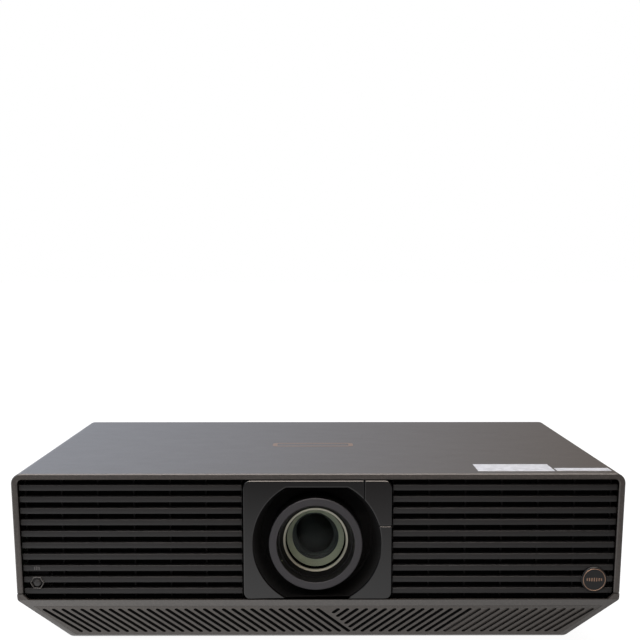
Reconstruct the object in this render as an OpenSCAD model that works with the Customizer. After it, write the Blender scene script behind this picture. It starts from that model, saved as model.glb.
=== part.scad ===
// Home cinema projector: a wide, low body with a louvred front, slotted chamfers under its
// front and sides, and a motorised zoom lens that shifts up, down and sideways.
// Units are millimetres. +X is the right-hand side seen from the front, the lens looks along
// -Y and +Z is up. The origin is on the floor, under the middle of the body.

/* [Body] */
// Width of the body along its top edges
body_w = 410; // [396:1:500]
// Depth of the body, from the front plane to the rear edge
body_d = 310; // [304:1:380]
// Height of the body without its feet
body_h = 120; // [118:1:146]
// Height of the feet under the body
foot_h = 12; // [11:0.5:20]
// How far each side wall leans in from the top edge to the fold
side_lean = 2; // [0:0.5:4]
// How far the front and side chamfers run in under the body
chamfer_in = 31; // [26:1:36]
// How far the front and side chamfers drop
chamfer_drop = 34; // [30:1:38]
// Wall thickness of the cover and the tray
wall = 2.5; // [2:0.1:3]
// Radius along the two long top edges
top_r = 7; // [3:0.5:12]
// Radius where the side walls turn into their chamfers
fold_r = 5; // [3:0.5:8]
// Radius where the chamfers turn into the underside
hip_r = 6; // [3:0.5:9]
// Height of the tray's rim above the fold, up to the joint with the cover
tray_rim_h = 4; // [2:0.5:8]

/* [Front opening] */
// Width of the painted rim round the front opening
rim_w = 4; // [3:0.5:6]
// Depth of the rim, front to back
rim_t = 3; // [2:0.5:4]
// Cut across the opening's lower corners
rim_corner = 3.5; // [1:0.5:6]
// Radius of the opening's upper corners
rim_r = 3; // [1:0.5:6]

/* [Louvres] */
// Number of slats on each side
slat_count = 10; // [8:1:11]
// Height of one slat
slat_h = 4.15; // [3:0.05:5]
// Depth of one slat, front to back
slat_d = 6.5; // [5:0.5:9]
// How far the slats sit behind the front plane
slat_recess = 2.5; // [2:0.1:4]
// Width of the upright ribs behind the slats
rib_w = 1.2; // [1:0.1:2]
// Depth of the upright ribs, front to back
rib_d = 3; // [2:0.5:5]
// Number of upright ribs on each side
rib_count = 7; // [4:1:10]

/* [Chamfer slots] */
// Width of one slot, across it
slot_w = 2.7; // [2:0.1:3.2]
// Distance from one slot to the next along the fold
slot_pitch = 6.42; // [6:0.02:8]
// Distance down the chamfer from the fold to the slots' upper ends
slot_start = 10.3; // [9:0.1:13]
// Distance down the chamfer from the fold to the slots' lower ends
slot_end = 40.1; // [36:0.1:41]
// How far each slot leans towards the middle on its way down
slot_lean = 21.3; // [0:0.1:24]
// Distance from the body's corner to the first slot, along the fold
slot_margin = 16.4; // [16:0.1:24]
// Number of closed grooves at the right-hand end of the front, next to the open slots
groove_count = 13; // [0:1:20]
// Depth of a closed groove
groove_t = 1.1; // [0.5:0.1:1.6]
// Margin of the slotted panel above and below its slots
panel_margin = 3; // [2:0.5:3.5]
// Margin between the slotted panel and the hips of the tray
panel_hip_margin = 5; // [4:0.5:7]
// Clearance of a panel in its window
panel_fit = 0.15; // [0.05:0.05:0.3]
// Distance from the front and rear planes to the slots in the sides
side_slot_margin = 42; // [36:1:60]

/* [Lens bezel] */
// Width of the square bezel
bezel_w = 99.5; // [98:0.5:110]
// Sideways place of the bezel's middle
bezel_x = -0.75; // [-10:0.25:10]
// Thickness of the bezel plate
bezel_t = 3; // [2:0.5:4]
// How far the bezel sits behind the front plane
bezel_recess = 0.5; // [0:0.1:2]
// Radius of the bezel's corners
bezel_r = 5; // [2:0.5:8]
// Gap round the bezel
bezel_gap = 0.6; // [0.3:0.1:1.5]
// Radius of the round opening in the bezel
opening_r = 43.1; // [42:0.1:46]
// Height of the bezel's frame above the opening's flat top
opening_top_margin = 4.8; // [3:0.1:6]
// Height of the bezel's frame below the opening's flat bottom
opening_bottom_margin = 1; // [0.8:0.1:3]
// Left edge of the sensor window, right of the opening's middle
window_in = 31.5; // [26:0.5:36]
// Lower edge of the sensor window, above the opening's middle
window_up = 11.5; // [8:0.5:20]
// Joint between the sensor window and the bezel
window_gap = 0.25; // [0.1:0.05:0.5]
// Depth of the black well behind the bezel
well_d = 27; // [22:1:30]
// Wall of the well
well_wall = 1.5; // [1:0.1:2]
// Clearance between the well and the lens at the end of its shift
well_clearance = 0.7; // [0.5:0.1:1]

/* [Lens] */
// Sideways place of the lens axis
lens_x = -2; // [-4:0.25:2]
// Height of the lens axis under the middle of the front face
lens_drop = 5; // [2:0.5:7]
// Distance from the front plane back to the lens ring
lens_recess = 1; // [0.5:0.1:4]
// Outer radius of the lens ring
barrel_r = 31.3; // [30:0.1:31.5]
// Inner radius of the lens ring at its front edge
ring_in_r = 26.4; // [26:0.1:28]
// Radius of the barrel's bore, which the lens cells slide in
bore_r = 25.2; // [25:0.1:25.6]
// Radial clearance of a sliding cell or a turning shaft
run_fit = 0.07; // [0.03:0.01:0.1]
// Radius of the seat that the geared rings turn on
seat_r = 27; // [26.8:0.1:27.4]
// Radius of the front glass
glass_r = 21.6; // [20:0.1:22.5]
// Depth of the front glass's curve
glass_sag = 4; // [2:0.5:5]
// Radius of the aperture behind the front glass
aperture_r = 12; // [8:0.5:15]
// Travel of the focus group each way
focus_travel = 1.5; // [1:0.1:2]
// Travel of the zoom group each way
zoom_travel = 6; // [4:0.5:7]
// Module of the lens gears
gear_module = 1.25; // [1.2:0.05:1.5]
// Teeth on each geared ring
ring_teeth = 52; // [52:2:54]
// Teeth on each pinion
pinion_teeth = 13; // [12:1:14]
// Play between meshing teeth
backlash = 0.3; // [0.15:0.05:0.5]
// Face width of the geared rings
gear_w = 12; // [8:0.5:13]

/* [Lens shift] */
// Travel of the lens up and down, each way
shift_v = 3.5; // [2:0.1:3.6]
// Travel of the lens sideways, each way from the middle of the bezel
shift_h = 2.5; // [1.5:0.1:2.8]
// Radius of the guide rods
rod_r = 2.5; // [2:0.1:3]
// Radius of the lead screws
screw_r = 2; // [1.5:0.1:2.4]
// Thickness of the shift mechanism's plates
plate_t = 4; // [3:0.5:4]

/* [Fans] */
// Size of the two front fans
fan_size = 80; // [70:5:80]
// Depth of the two front fans
fan_d = 25; // [20:1:26]
// Size of the laser fan
small_fan_size = 60; // [50:5:60]
// Depth of the laser fan
small_fan_d = 15; // [12:1:16]
// Gap between the blades' tips and the fan frame
blade_gap = 1; // [0.6:0.1:2]

/* [Joystick button] */
// Radius of the button's cap
cap_r = 2.7; // [2.2:0.1:2.8]
// Outer radius of the boss round the button
boss_r = 4.3; // [4.2:0.1:5]
// Radius of the bore in that boss
boss_bore_r = 3.6; // [3.5:0.1:3.7]
// Distance from the right and left body edges to the button and the badge
corner_item_x = 15.3; // [15:0.1:24]
// Height of the button's middle above the fold
button_up = 11.6; // [9:0.1:16]
// How far the cap can be pushed in
cap_travel = 0.8; // [0.4:0.1:1]

/* [Trim] */
// Radius of the round badge
badge_r = 8.65; // [6:0.05:10]
// Height of the badge's middle above the fold
badge_up = 13.4; // [12:0.1:16]
// Thickness of the stickers
sticker_t = 0.1; // [0.05:0.05:0.2]
// Length of the inlaid frame on the top
emblem_w = 62; // [30:1:80]
// Width of the inlaid frame on the top
emblem_d = 20; // [18:1:40]
// Width of the frame's line
emblem_line = 3.5; // [2:0.5:4]
// Place of the frame's middle across the top
emblem_x = -3.7; // [-40:0.1:40]
// Place of the frame's middle from front to rear
emblem_y = -4; // [-40:1:40]
// Depth of the groove that the frame lies in
emblem_inlay = 0.5; // [0.3:0.1:0.8]

/* [Underside] */
// Distance between the ceiling-mount inserts, across the body
mount_pitch_x = 220; // [200:5:240]
// Distance between the ceiling-mount inserts, front to back
mount_pitch_y = 140; // [140:5:160]
// Distance from the body's middle back to the middle of the mount pattern
mount_y = 20; // [10:1:24]
// Radius of the hole in an insert
insert_hole_r = 1.65; // [1.5:0.05:2]
// Outer radius of an insert
insert_r = 3.1; // [2.8:0.1:3.4]
// Length of an insert
insert_l = 8; // [6:0.5:9]
// Radius of a foot pad
pad_r = 13; // [10:0.5:15]
// Height of an adjustable foot pad
pad_h = 9; // [7:0.5:9.5]
// Radius of an adjustable foot's threaded stem
stem_r = 4; // [3:0.5:5]
// How far an adjustable foot screws out
foot_travel = 12; // [6:1:13]
// Distance from the body's sides to the feet
foot_in_x = 65; // [60:1:80]
// Distance from the front plane to the front feet
foot_in_y = 88; // [80:1:110]
// Distance from the rear edge to the rear feet
rear_foot_in_y = 30; // [20:1:40]
// Radius of a case screw's head
case_head_r = 3; // [2.5:0.1:3.5]

/* [Electronics] */
// Thickness of the circuit boards
board_t = 1.6; // [1:0.1:2]
// Height of the main board's top above the tray's floor
main_board_up = 21; // [18:1:24]
// Clearance of a socket in the rear panel
socket_fit = 0.4; // [0.2:0.1:0.8]
// Thickness of the rear panel
rear_t = 2.5; // [2:0.1:3]
// How far the rear panel sits in from the rear edge
rear_recess = 2; // [1:0.5:4]

/* [Hidden] */
$fn = 48;
eps = 0.01;
over = 1;

// Main planes of the body
half_w = body_w / 2;
front_y = -body_d / 2;
rear_y = body_d / 2;
base_z = foot_h;
top_z = foot_h + body_h;
fold_z = base_z + chamfer_drop;
seam_z = fold_z + tray_rim_h;
fold_x = half_w - side_lean;
floor_z = base_z + wall;
roof_z = top_z - wall;
slope_deg = atan2(chamfer_drop, chamfer_in);
slope_len = norm([chamfer_in, chamfer_drop]);

// Front opening
rim_top_z = top_z - rim_w;
opening_h = rim_top_z - fold_z;

// Lens axis and bezel
lens_z = (fold_z + top_z) / 2 - lens_drop;
bezel_z0 = fold_z + 0.15;
bezel_z1 = rim_top_z - bezel_gap;
bezel_y = front_y + bezel_recess;
opening_x = bezel_x - 0.35;
opening_z0 = bezel_z0 + opening_bottom_margin;
opening_z1 = bezel_z1 - opening_top_margin;
opening_mid_z = (opening_z0 + opening_z1) / 2;
well_y = bezel_y + bezel_t;
well_hole_r = barrel_r + norm([shift_h, shift_v + opening_mid_z - lens_z]) + well_clearance;

// Lens gears
ring_pitch_r = gear_module * ring_teeth / 2;
pinion_pitch_r = gear_module * pinion_teeth / 2;
gear_distance = ring_pitch_r + pinion_pitch_r;
pinion_shaft_r = 1.5;
pinion_shaft_l = 8;
motor_r = 6;

// Stations along the lens, front to back
lens_y = front_y + lens_recess;
cell_y = lens_y + 8.5 + focus_travel;
glass_y = cell_y + 6.5;
glass_back_y = glass_y + 5.4;
stop_y = glass_back_y + 11;
cell_end_y = stop_y + 3;
barrel_end_y = lens_y + 35;
focus_ring_y = barrel_end_y + 2.5;
zoom_ring_y = focus_ring_y + gear_w + 6.5;
flange_y = lens_y + 90;
carriage_y = flange_y + plate_t + 8;
frame_y = carriage_y + 12;
tail_end_y = frame_y + plate_t + 4;
zoom_group_y = cell_end_y + focus_travel + zoom_travel + 6.6;
zoom_group_d = 10;
tail_r = 22;
flange_w = 2 * (gear_distance + motor_r) + 2.75;
flange_h = 76;

// Shift mechanism
carriage_t = 3;
rod_y = frame_y + 4 - 9;
rod_x = 60;
cross_rod_y = flange_y + plate_t + 4;
cross_rod_z = flange_h / 2 - 4;
lift_screw_x = 75;
cross_screw_z = -22;
motor_x = lens_x + flange_w / 2 + 5;
screw_journal_r = 1.5;

// Light engine, behind the lens
bench_z = base_z + 16;
bench_t = 4;
bench_y0 = frame_y - 16;
bench_y1 = frame_y + 84;
bench_x0 = -62;
bench_x1 = 150;
prism_w = 36;
prism_y0 = tail_end_y + 4;
prism_y1 = prism_y0 + 30;
beam_y = (prism_y0 + prism_y1) / 2;
chip_gap = 0.5;
imager_y = prism_y1 + 4;
wheel_x = 80;
wheel_r = 32;
wheel_hub_r = 9;
wheel_y = beam_y + wheel_r - 5;
laser_x0 = 112;
laser_x1 = 134;
heatsink_fins = 14;

// Fans
fan_x = half_w - 55;
fan_y = front_y + 25;
fan_z = max(lens_z, fold_z + fan_size / 2 - 2);
small_fan_x = half_w - 47;
small_fan_y = front_y + 197;
small_fan_z = lens_z - 4;

// Button and badge
button_x = -(half_w - corner_item_x);
button_z = fold_z + button_up;
button_y = front_y + 1.4;
pivot_y = button_y + 7.6;
switch_y = front_y + 12.5;
badge_x = half_w - corner_item_x - 3.7;
badge_z = fold_z + badge_up;

// Underside
foot_x = half_w - foot_in_x;
foot_y = front_y + foot_in_y;
rear_foot_y = rear_y - rear_foot_in_y;
stem_z0 = 3;
stem_l = foot_travel + 12;
foot_boss_z = stem_z0 + stem_l + 2;

// Boards
board_z = floor_z + main_board_up - board_t;
board_x0 = -60;
board_x1 = 95;
board_y1 = rear_y - 7;
board_y0 = board_y1 - 98;
rear_panel_y = rear_y - rear_recess - rear_t;
power_x0 = -(half_w - 29);
power_x1 = power_x0 + 86;
power_y0 = front_y + 70;
power_y1 = power_y0 + 140;
power_z = floor_z + 15.5;
inlet_x = -118;
inlet_z = fold_z + 4;

// Colours
paint = "#4d4946";
matte_black = "#1c1c1d";
gloss_black = "#0e0e10";
lens_grey = "#3c3d40";
steel = "#9a9ca0";
alloy = "#b4b6b9";
copper = "#a9744f";
brass = "#b89a4e";
board_green = "#1f4a34";
rubber = "#191919";
glass_tint = "#6f86a8";

// ---------------------------------------------------------------------------
// Outlines with rounded corners. An outline is a convex list of points, listed anticlockwise.

function edge_normal(a, b) = let (e = b - a) [-e[1], e[0]] / norm(e);

// The point at distance d inside corner i of an outline
function inset_corner(pts, i, d) =
    let (n = len(pts),
         n1 = edge_normal(pts[(i + n - 1) % n], pts[i]),
         n2 = edge_normal(pts[i], pts[(i + 1) % n]))
    pts[i] + d * (n1 + n2) / (1 + n1 * n2);

function inset(pts, d) = [for (i = [0:len(pts) - 1]) inset_corner(pts, i, d)];

function inset_radii(radii, d) = [for (r = radii) r > d ? r - d : 0];

// Where the rounding of corner i meets the edges before and after it
function corner_ends(pts, i, r) =
    let (n = len(pts),
         n1 = edge_normal(pts[(i + n - 1) % n], pts[i]),
         n2 = edge_normal(pts[i], pts[(i + 1) % n]),
         c = inset_corner(pts, i, r))
    r > 0 ? [c - r * n1, c - r * n2] : [pts[i]];

module rounded(pts, radii) {
    polygon([for (i = [0:len(pts) - 1]) each corner_ends(pts, i, radii[i])]);
    for (i = [0:len(pts) - 1])
        if (radii[i] > 0)
            translate(inset_corner(pts, i, radii[i])) circle(r = radii[i]);
}

function rect_pts(x0, z0, x1, z1) = [[x0, z0], [x1, z0], [x1, z1], [x0, z1]];

module rounded_rect(x0, z0, x1, z1, r) rounded(rect_pts(x0, z0, x1, z1), [r, r, r, r]);

// An (x, z) outline, extruded from y0 to y1
module along_y(y0, y1) translate([0, y1, 0]) rotate([90, 0, 0]) linear_extrude(y1 - y0) children();

// A (y, z) outline, extruded from x0 to x1
module along_x(x0, x1)
    translate([x0, 0, 0]) rotate([90, 0, 90]) linear_extrude(x1 - x0) children();

module box(x0, y0, z0, x1, y1, z1) translate([x0, y0, z0]) cube([x1 - x0, y1 - y0, z1 - z0]);

// Round bars along each axis
module bar_x(x0, x1, y, z, r) translate([x0, y, z]) rotate([0, 90, 0]) cylinder(h = x1 - x0, r = r);
module bar_y(y0, y1, x, z, r) translate([x, y0, z]) rotate([-90, 0, 0]) cylinder(h = y1 - y0, r = r);
module bar_z(z0, z1, x, y, r) translate([x, y, z0]) cylinder(h = z1 - z0, r = r);

// An (r, y) profile turned about the lens axis
module turned() translate([lens_x, 0, lens_z]) rotate([-90, 0, 0]) rotate_extrude($fn = 96) children();

// ---------------------------------------------------------------------------
// Body sections

function side_x(z) = fold_x + side_lean * (z - fold_z) / (top_z - fold_z);

body_pts = [[-(fold_x - chamfer_in), base_z], [fold_x - chamfer_in, base_z],
            [fold_x, fold_z], [half_w, top_z], [-half_w, top_z], [-fold_x, fold_z]];
body_radii = [hip_r, hip_r, fold_r, top_r, top_r, fold_r];

function depth_pts(rear) = [[front_y, fold_z], [front_y + chamfer_in, base_z], [rear, base_z],
                            [rear, top_z], [front_y, top_z]];
depth_radii = [0, hip_r, 0, 0, 0];

opening_pts = [[-(side_x(fold_z) - rim_w - rim_corner), fold_z],
               [side_x(fold_z) - rim_w - rim_corner, fold_z],
               [side_x(fold_z + rim_corner) - rim_w, fold_z + rim_corner],
               [side_x(rim_top_z) - rim_w, rim_top_z],
               [-(side_x(rim_top_z) - rim_w), rim_top_z],
               [-(side_x(fold_z + rim_corner) - rim_w), fold_z + rim_corner]];

module body_block() intersection() {
    along_y(front_y, rear_y) rounded(body_pts, body_radii);
    along_x(-half_w - over, half_w + over) rounded(depth_pts(rear_y), depth_radii);
}

module body_cavity(front_wall) intersection() {
    along_y(front_y + front_wall, rear_y + over)
        rounded(inset(body_pts, wall), inset_radii(body_radii, wall));
    along_x(-half_w, half_w)
        polygon(inset(depth_pts(rear_y + 10), wall));
}

module front_opening() along_y(front_y - over, front_y + rim_t + over)
    rounded(opening_pts, [0, 0, 0, rim_r, rim_r, 0]);

// Lays an outline drawn as (x along the fold, y down the slope) on the front chamfer
module on_front_slope() translate([0, front_y, fold_z]) rotate([-slope_deg, 0, 0]) children();

// The same on a side chamfer: side is 1 on the right and -1 on the left
module on_side_slope(side)
    translate([side * fold_x, 0, fold_z]) rotate([0, 0, side * 90]) rotate([-slope_deg, 0, 0])
        children();

// A slotted panel's outline: half_top is half its length along the fold line
panel_s0 = slot_start - panel_margin;
panel_s1 = slot_end + panel_margin;
hip_rate = chamfer_in / slope_len;

function panel_pts(half_front, half_rear, rear_rate, gap) =
    inset([[-half_front + hip_rate * panel_s0, panel_s0], [half_rear - rear_rate * panel_s0, panel_s0],
           [half_rear - rear_rate * panel_s1, panel_s1], [-half_front + hip_rate * panel_s1, panel_s1]],
          gap);

front_half = fold_x - panel_hip_margin;
side_half_front = -front_y - panel_hip_margin;
side_half_rear = rear_y - 14;

module front_panel_outline(gap) polygon(panel_pts(front_half, front_half, hip_rate, gap));

// On the right side the local x runs rearwards, on the left it runs forwards
module side_panel_outline(gap) polygon(panel_pts(side_half_front, side_half_rear, 0, gap));

// One slot with round ends: it starts at (x, slot_start) and leans by lean until depth s1
module slot(x, lean, s1) {
    run = (s1 - slot_start - slot_w) / (slot_end - slot_start - slot_w);
    a = [x, slot_start + slot_w / 2];
    b = [x + lean * run, s1 - slot_w / 2];
    start = atan2(b[1] - a[1], b[0] - a[0]) + 90;
    polygon([for (end = [0, 1], k = [0:5]) let (t = start + end * 180 + k * 36)
             (end == 0 ? a : b) + slot_w / 2 * [cos(t), sin(t)]]);
}

slot_half = fold_x - slot_margin;
slot_total = floor(slot_half / slot_pitch) + 1;
lean_rate = slot_lean / (slot_end - slot_start);

// The right-hand slots stop short of the last left-hand slot, which crosses the middle
last_left_x = -slot_half + (slot_total - 1) * slot_pitch;
function right_slot_end(x) =
    min(slot_end, slot_start + (x - last_left_x - slot_pitch) / (2 * lean_rate) + slot_w / 2);

// ---------------------------------------------------------------------------
// Shells

module top_cover() color(paint) difference() {
    intersection() {
        body_block();
        box(-half_w, front_y, seam_z, half_w, rear_y, top_z + over);
    }
    body_cavity(rim_t);
    front_opening();
    translate([emblem_x, emblem_y, top_z - emblem_inlay]) linear_extrude(over) emblem_outline(0.05);
}

module post(x, y, z) bar_z(base_z + eps, z, x, y, 5);

insert_xy = [for (sx = [-1, 1], sy = [-1, 1]) [sx * mount_pitch_x / 2, mount_y + sy * mount_pitch_y / 2]];
case_screw_xy = [[-60, front_y + 43], [60, front_y + 43], [-(half_w - 45), 0], [half_w - 45, 0],
                 [-60, rear_y - 15], [60, rear_y - 15]];
board_post_xy = [[board_x0 + 6, board_y0 + 6], [board_x1 - 6, board_y0 + 6],
                 [board_x0 + 6, board_y0 + 64], [board_x1 - 6, board_y0 + 64]];
power_post_xy = [for (x = [power_x0 + 6, power_x1 - 6], y = [power_y0 + 6, power_y1 - 6]) [x, y]];
fan_post_xy = [for (s = [-1, 1], dx = [-28, 18]) [s * (fan_x + dx), fan_y + fan_d / 2]];

module tray_bosses() {
    for (s = [-1, 1]) bar_z(base_z + eps, foot_boss_z, s * foot_x, foot_y, stem_r + 4);
    for (p = insert_xy) post(p[0], p[1], base_z + insert_l + 2);
    for (p = case_screw_xy) post(p[0], p[1], base_z + 11);
    for (p = board_post_xy) post(p[0], p[1], board_z);
    for (p = power_post_xy) post(p[0], p[1], power_z);
    for (p = fan_post_xy) post(p[0], p[1], fan_z - fan_size / 2);
    post(small_fan_x, small_fan_y + small_fan_d / 2, small_fan_z - small_fan_size / 2);
    for (s = [-1, 1], dy = [0, 50]) post(s * (half_w - 39), rear_y - 77 + dy, fold_z + 2);
}

module base_tray() color(paint) difference() {
    union() {
        difference() {
            intersection() {
                body_block();
                box(-half_w, front_y, base_z, half_w, rear_y, seam_z);
            }
            body_cavity(rim_t);
        }
        intersection() {
            body_block();
            tray_bosses();
        }
    }
    front_opening();
    on_front_slope() translate([0, 0, -over]) linear_extrude(wall + 2 * over) front_panel_outline(0);
    on_side_slope(1) translate([0, 0, -over]) linear_extrude(wall + 2 * over) side_panel_outline(0);
    on_side_slope(-1) mirror([1, 0, 0]) translate([0, 0, -over])
        linear_extrude(wall + 2 * over) side_panel_outline(0);
    for (s = [-1, 1]) bar_z(0, foot_boss_z + over, s * foot_x, foot_y, stem_r + run_fit);
    for (p = insert_xy) bar_z(0, base_z + insert_l, p[0], p[1], insert_r + 0.05);
    for (p = case_screw_xy) {
        bar_z(0, base_z + 2, p[0], p[1], case_head_r + 0.2);
        bar_z(0, base_z + 9, p[0], p[1], case_head_r / 2 + 0.1);
    }
}

module front_grille() color(paint) on_front_slope() difference() {
    linear_extrude(wall) front_panel_outline(panel_fit);
    for (k = [0:slot_total - 1]) {
        x = slot_half - k * slot_pitch;
        translate([0, 0, -over]) linear_extrude(wall + 2 * over) slot(-x, slot_lean, slot_end);
        end = right_slot_end(x);
        if (end > slot_start + 1.2 * slot_w)
            translate([0, 0, -over])
                linear_extrude(k < groove_count ? groove_t + over : wall + 2 * over)
                    slot(x, -slot_lean, end);
    }
}

side_slot_half = -front_y - side_slot_margin;
side_slot_total = floor((side_slot_half + rear_y - side_slot_margin) / slot_pitch) + 1;

module side_grille_flat() difference() {
    linear_extrude(wall) side_panel_outline(panel_fit);
    for (k = [0:side_slot_total - 1])
        translate([0, 0, -over]) linear_extrude(wall + 2 * over)
            slot(-side_slot_half + k * slot_pitch, slot_lean / 2, slot_end);
}

module side_grilles() color(paint) {
    on_side_slope(1) side_grille_flat();
    on_side_slope(-1) mirror([1, 0, 0]) side_grille_flat();
}

// ---------------------------------------------------------------------------
// Front

slat_gap = (opening_h - slat_count * slat_h) / (slat_count + 1);
slat_y = front_y + slat_recess;
rib_y = slat_y + slat_d;
louvre_fit = 0.3;

function slat_z(k) = rim_top_z - (k + 1) * slat_gap - (k + 0.5) * slat_h;

// side is 1 on the right and -1 on the left, x_in is the bank's inner end, measured outwards
module louvre_bank(side, x_in) {
    x_out = side_x(fold_z) - wall - 3;
    for (k = [0:slat_count - 1]) {
        z0 = slat_z(k) - slat_h / 2;
        z1 = z0 + slat_h;
        along_y(slat_y, rib_y)
            polygon([[side * x_in, z0], [side * (side_x(z0) - rim_w - louvre_fit), z0],
                     [side * (side_x(z1) - rim_w - louvre_fit), z1], [side * x_in, z1]]);
    }
    for (k = [0:rib_count - 1]) {
        x = x_in + rib_w / 2 + k * (x_out - x_in - rib_w) / (rib_count - 1);
        box(side * x - rib_w / 2, rib_y, fold_z + 0.5, side * x + rib_w / 2, rib_y + rib_d, roof_z);
    }
}

module louvre_left() color(matte_black) difference() {
    union() {
        louvre_bank(-1, bezel_w / 2 - bezel_x + bezel_gap);
        bar_y(front_y + 1.5, switch_y, button_x, button_z, boss_r);
    }
    bar_y(front_y, switch_y + over, button_x, button_z, boss_bore_r);
}

module louvre_right() color(matte_black) louvre_bank(1, bezel_w / 2 + bezel_x + bezel_gap);

module bezel_outline(gap) rounded_rect(bezel_x - bezel_w / 2 + gap, bezel_z0 + gap,
                                       bezel_x + bezel_w / 2 - gap, bezel_z1 - gap, bezel_r - gap);

// The round opening with its flat top and bottom, grown by grow on the round and the flats
module opening_outline(r, grow) intersection() {
    translate([opening_x, opening_mid_z]) circle(r = r, $fn = 96);
    translate([opening_x - r - over, opening_z0 - grow])
        square([2 * (r + over), opening_z1 - opening_z0 + 2 * grow]);
}

module window_corner(gap)
    translate([opening_x + window_in + gap, opening_mid_z + window_up + gap]) square([60, 60]);

module lens_bezel() color(gloss_black) along_y(bezel_y, bezel_y + bezel_t) difference() {
    bezel_outline(0);
    opening_outline(opening_r, 0);
    window_corner(0);
}

module sensor_window() color(gloss_black) along_y(bezel_y, bezel_y + bezel_t) difference() {
    intersection() {
        bezel_outline(0);
        window_corner(window_gap);
    }
    opening_outline(opening_r, 0);
}

module well_cone(grow, y0, y1) intersection() {
    translate([opening_x, y0, opening_mid_z]) rotate([-90, 0, 0])
        cylinder(h = y1 - y0, r1 = opening_r + grow, r2 = opening_r - 4.5 + grow, $fn = 96);
    box(opening_x - 60, y0, opening_z0 - grow, opening_x + 60, y1, opening_z1 + grow);
}

module lens_well() color(gloss_black) difference() {
    union() {
        along_y(well_y, well_y + 2) intersection() {
            bezel_outline(0);
            translate([-half_w, bezel_z0 + 0.4]) square([body_w, body_h]);
        }
        well_cone(well_wall, well_y + 2 - eps, well_y + well_d);
    }
    well_cone(0, well_y - eps, well_y + well_d - 2);
    bar_y(well_y, well_y + well_d + over, opening_x, opening_mid_z, well_hole_r);
}

module badge() color(copper) {
    bar_y(slat_y - 1.4, slat_y, badge_x, badge_z, badge_r);
    translate([badge_x, slat_y - 1.7, badge_z]) rotate([-90, 0, 0]) rotate_extrude()
        translate([badge_r - 1.6, 0]) square([0.5, 0.5]);
}

module top_stickers() color("white") {
    translate([107.6, front_y + 11, top_z]) cube([51.9, 32.4, sticker_t]);
    translate([161, front_y + 12, top_z]) cube([36.8, 13, sticker_t]);
}

module emblem_edge(grow)
    rounded_rect(-emblem_w / 2 - grow, -emblem_d / 2 - grow, emblem_w / 2 + grow, emblem_d / 2 + grow,
                 emblem_d / 4 + grow);

module emblem_outline(grow) difference() {
    emblem_edge(grow);
    emblem_edge(-emblem_line - grow);
}

module top_emblem() color(copper)
    translate([emblem_x, emblem_y, top_z - emblem_inlay]) linear_extrude(emblem_inlay + 0.05)
        emblem_outline(0);

// ---------------------------------------------------------------------------
// Rear panel and sockets

hdmi_x = [-40, -16, 8];
stack_x = 36;
optical_x = 62;
jack_x = 78;
socket_z = board_z + board_t;
socket_y0 = rear_panel_y - 20;
socket_y1 = rear_panel_y + rear_t - 0.3;

// A socket shell: outer size w by h, with the mouth mw by mh, md deep, in its rear face
module socket_shell(x, z0, w, h) box(x - w / 2, socket_y0, z0, x + w / 2, socket_y1, z0 + h);
module socket_mouth(x, zc, mw, mh, md)
    box(x - mw / 2, socket_y1 - md, zc - mh / 2, x + mw / 2, socket_y1 + over, zc + mh / 2);

module socket_hole(x, z0, w, h)
    translate([x - w / 2 - socket_fit, z0 - socket_fit]) square([w + 2 * socket_fit, h + 2 * socket_fit]);

module rear_panel() color(matte_black) along_y(rear_panel_y, rear_panel_y + rear_t) difference() {
    rounded(inset(body_pts, wall + panel_fit), inset_radii(body_radii, wall + panel_fit));
    for (x = hdmi_x) socket_hole(x, socket_z, 15.2, 6);
    socket_hole(stack_x, socket_z, 17, 29);
    socket_hole(optical_x, socket_z, 10, 10);
    socket_hole(jack_x, socket_z, 9, 9);
    socket_hole(inlet_x, inlet_z, 27, 20);
    // Speaker slots and air slots
    for (s = [-1, 1], k = [-4:4])
        translate([s * (half_w - 35) + k * 4 - 1, lens_z - 20]) square([2, 40]);
    for (k = [0:24])
        translate([-90 + k * 7, lens_z + 6]) square([3, 26]);
}

module hdmi_sockets() color(steel) for (x = hdmi_x) difference() {
    socket_shell(x, socket_z, 15.2, 6);
    socket_mouth(x, socket_z + 3, 13.9, 4.6, 11);
}

module usb_network_socket() color(steel) difference() {
    socket_shell(stack_x, socket_z, 17, 29);
    socket_mouth(stack_x, socket_z + 7, 12, 11, 13);
    for (dz = [17, 24.5]) socket_mouth(stack_x, socket_z + dz, 13.2, 5.2, 13);
}

module audio_sockets() color(matte_black) {
    difference() {
        socket_shell(optical_x, socket_z, 10, 10);
        socket_mouth(optical_x, socket_z + 5, 5.5, 5.5, 9);
    }
    difference() {
        socket_shell(jack_x, socket_z, 9, 9);
        bar_y(socket_y1 - 14, socket_y1 + over, jack_x, socket_z + 4.5, 1.8);
    }
}

module mains_inlet() color(matte_black) {
    difference() {
        box(inlet_x - 13.5, rear_panel_y - 16, inlet_z, inlet_x + 13.5, socket_y1, inlet_z + 20);
        socket_mouth(inlet_x, inlet_z + 10, 24, 17, 15);
    }
    for (p = [[-7, -2], [0, 2.5], [7, -2]])
        box(inlet_x + p[0] - 1, socket_y1 - 16, inlet_z + 8 + p[1],
            inlet_x + p[0] + 1, socket_y1 - 3, inlet_z + 12 + p[1]);
}

// ---------------------------------------------------------------------------
// Boards

module main_board() color(board_green) {
    box(board_x0, board_y0, board_z, board_x1, board_y1, board_z + board_t);
    top = board_z + board_t - eps;
    box(-20, board_y0 + 22, top, 15, board_y0 + 57, top + 9);
    for (x = [-42, 28, 48]) box(x, board_y0 + 26, top, x + 14, board_y0 + 38, top + 1.4);
    for (x = [-48:12:72]) box(x, board_y0 + 4, top, x + 6, board_y0 + 10, top + 5);
    for (x = [60, 74]) bar_z(top, top + 11, x, board_y0 + 46, 5);
}

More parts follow.
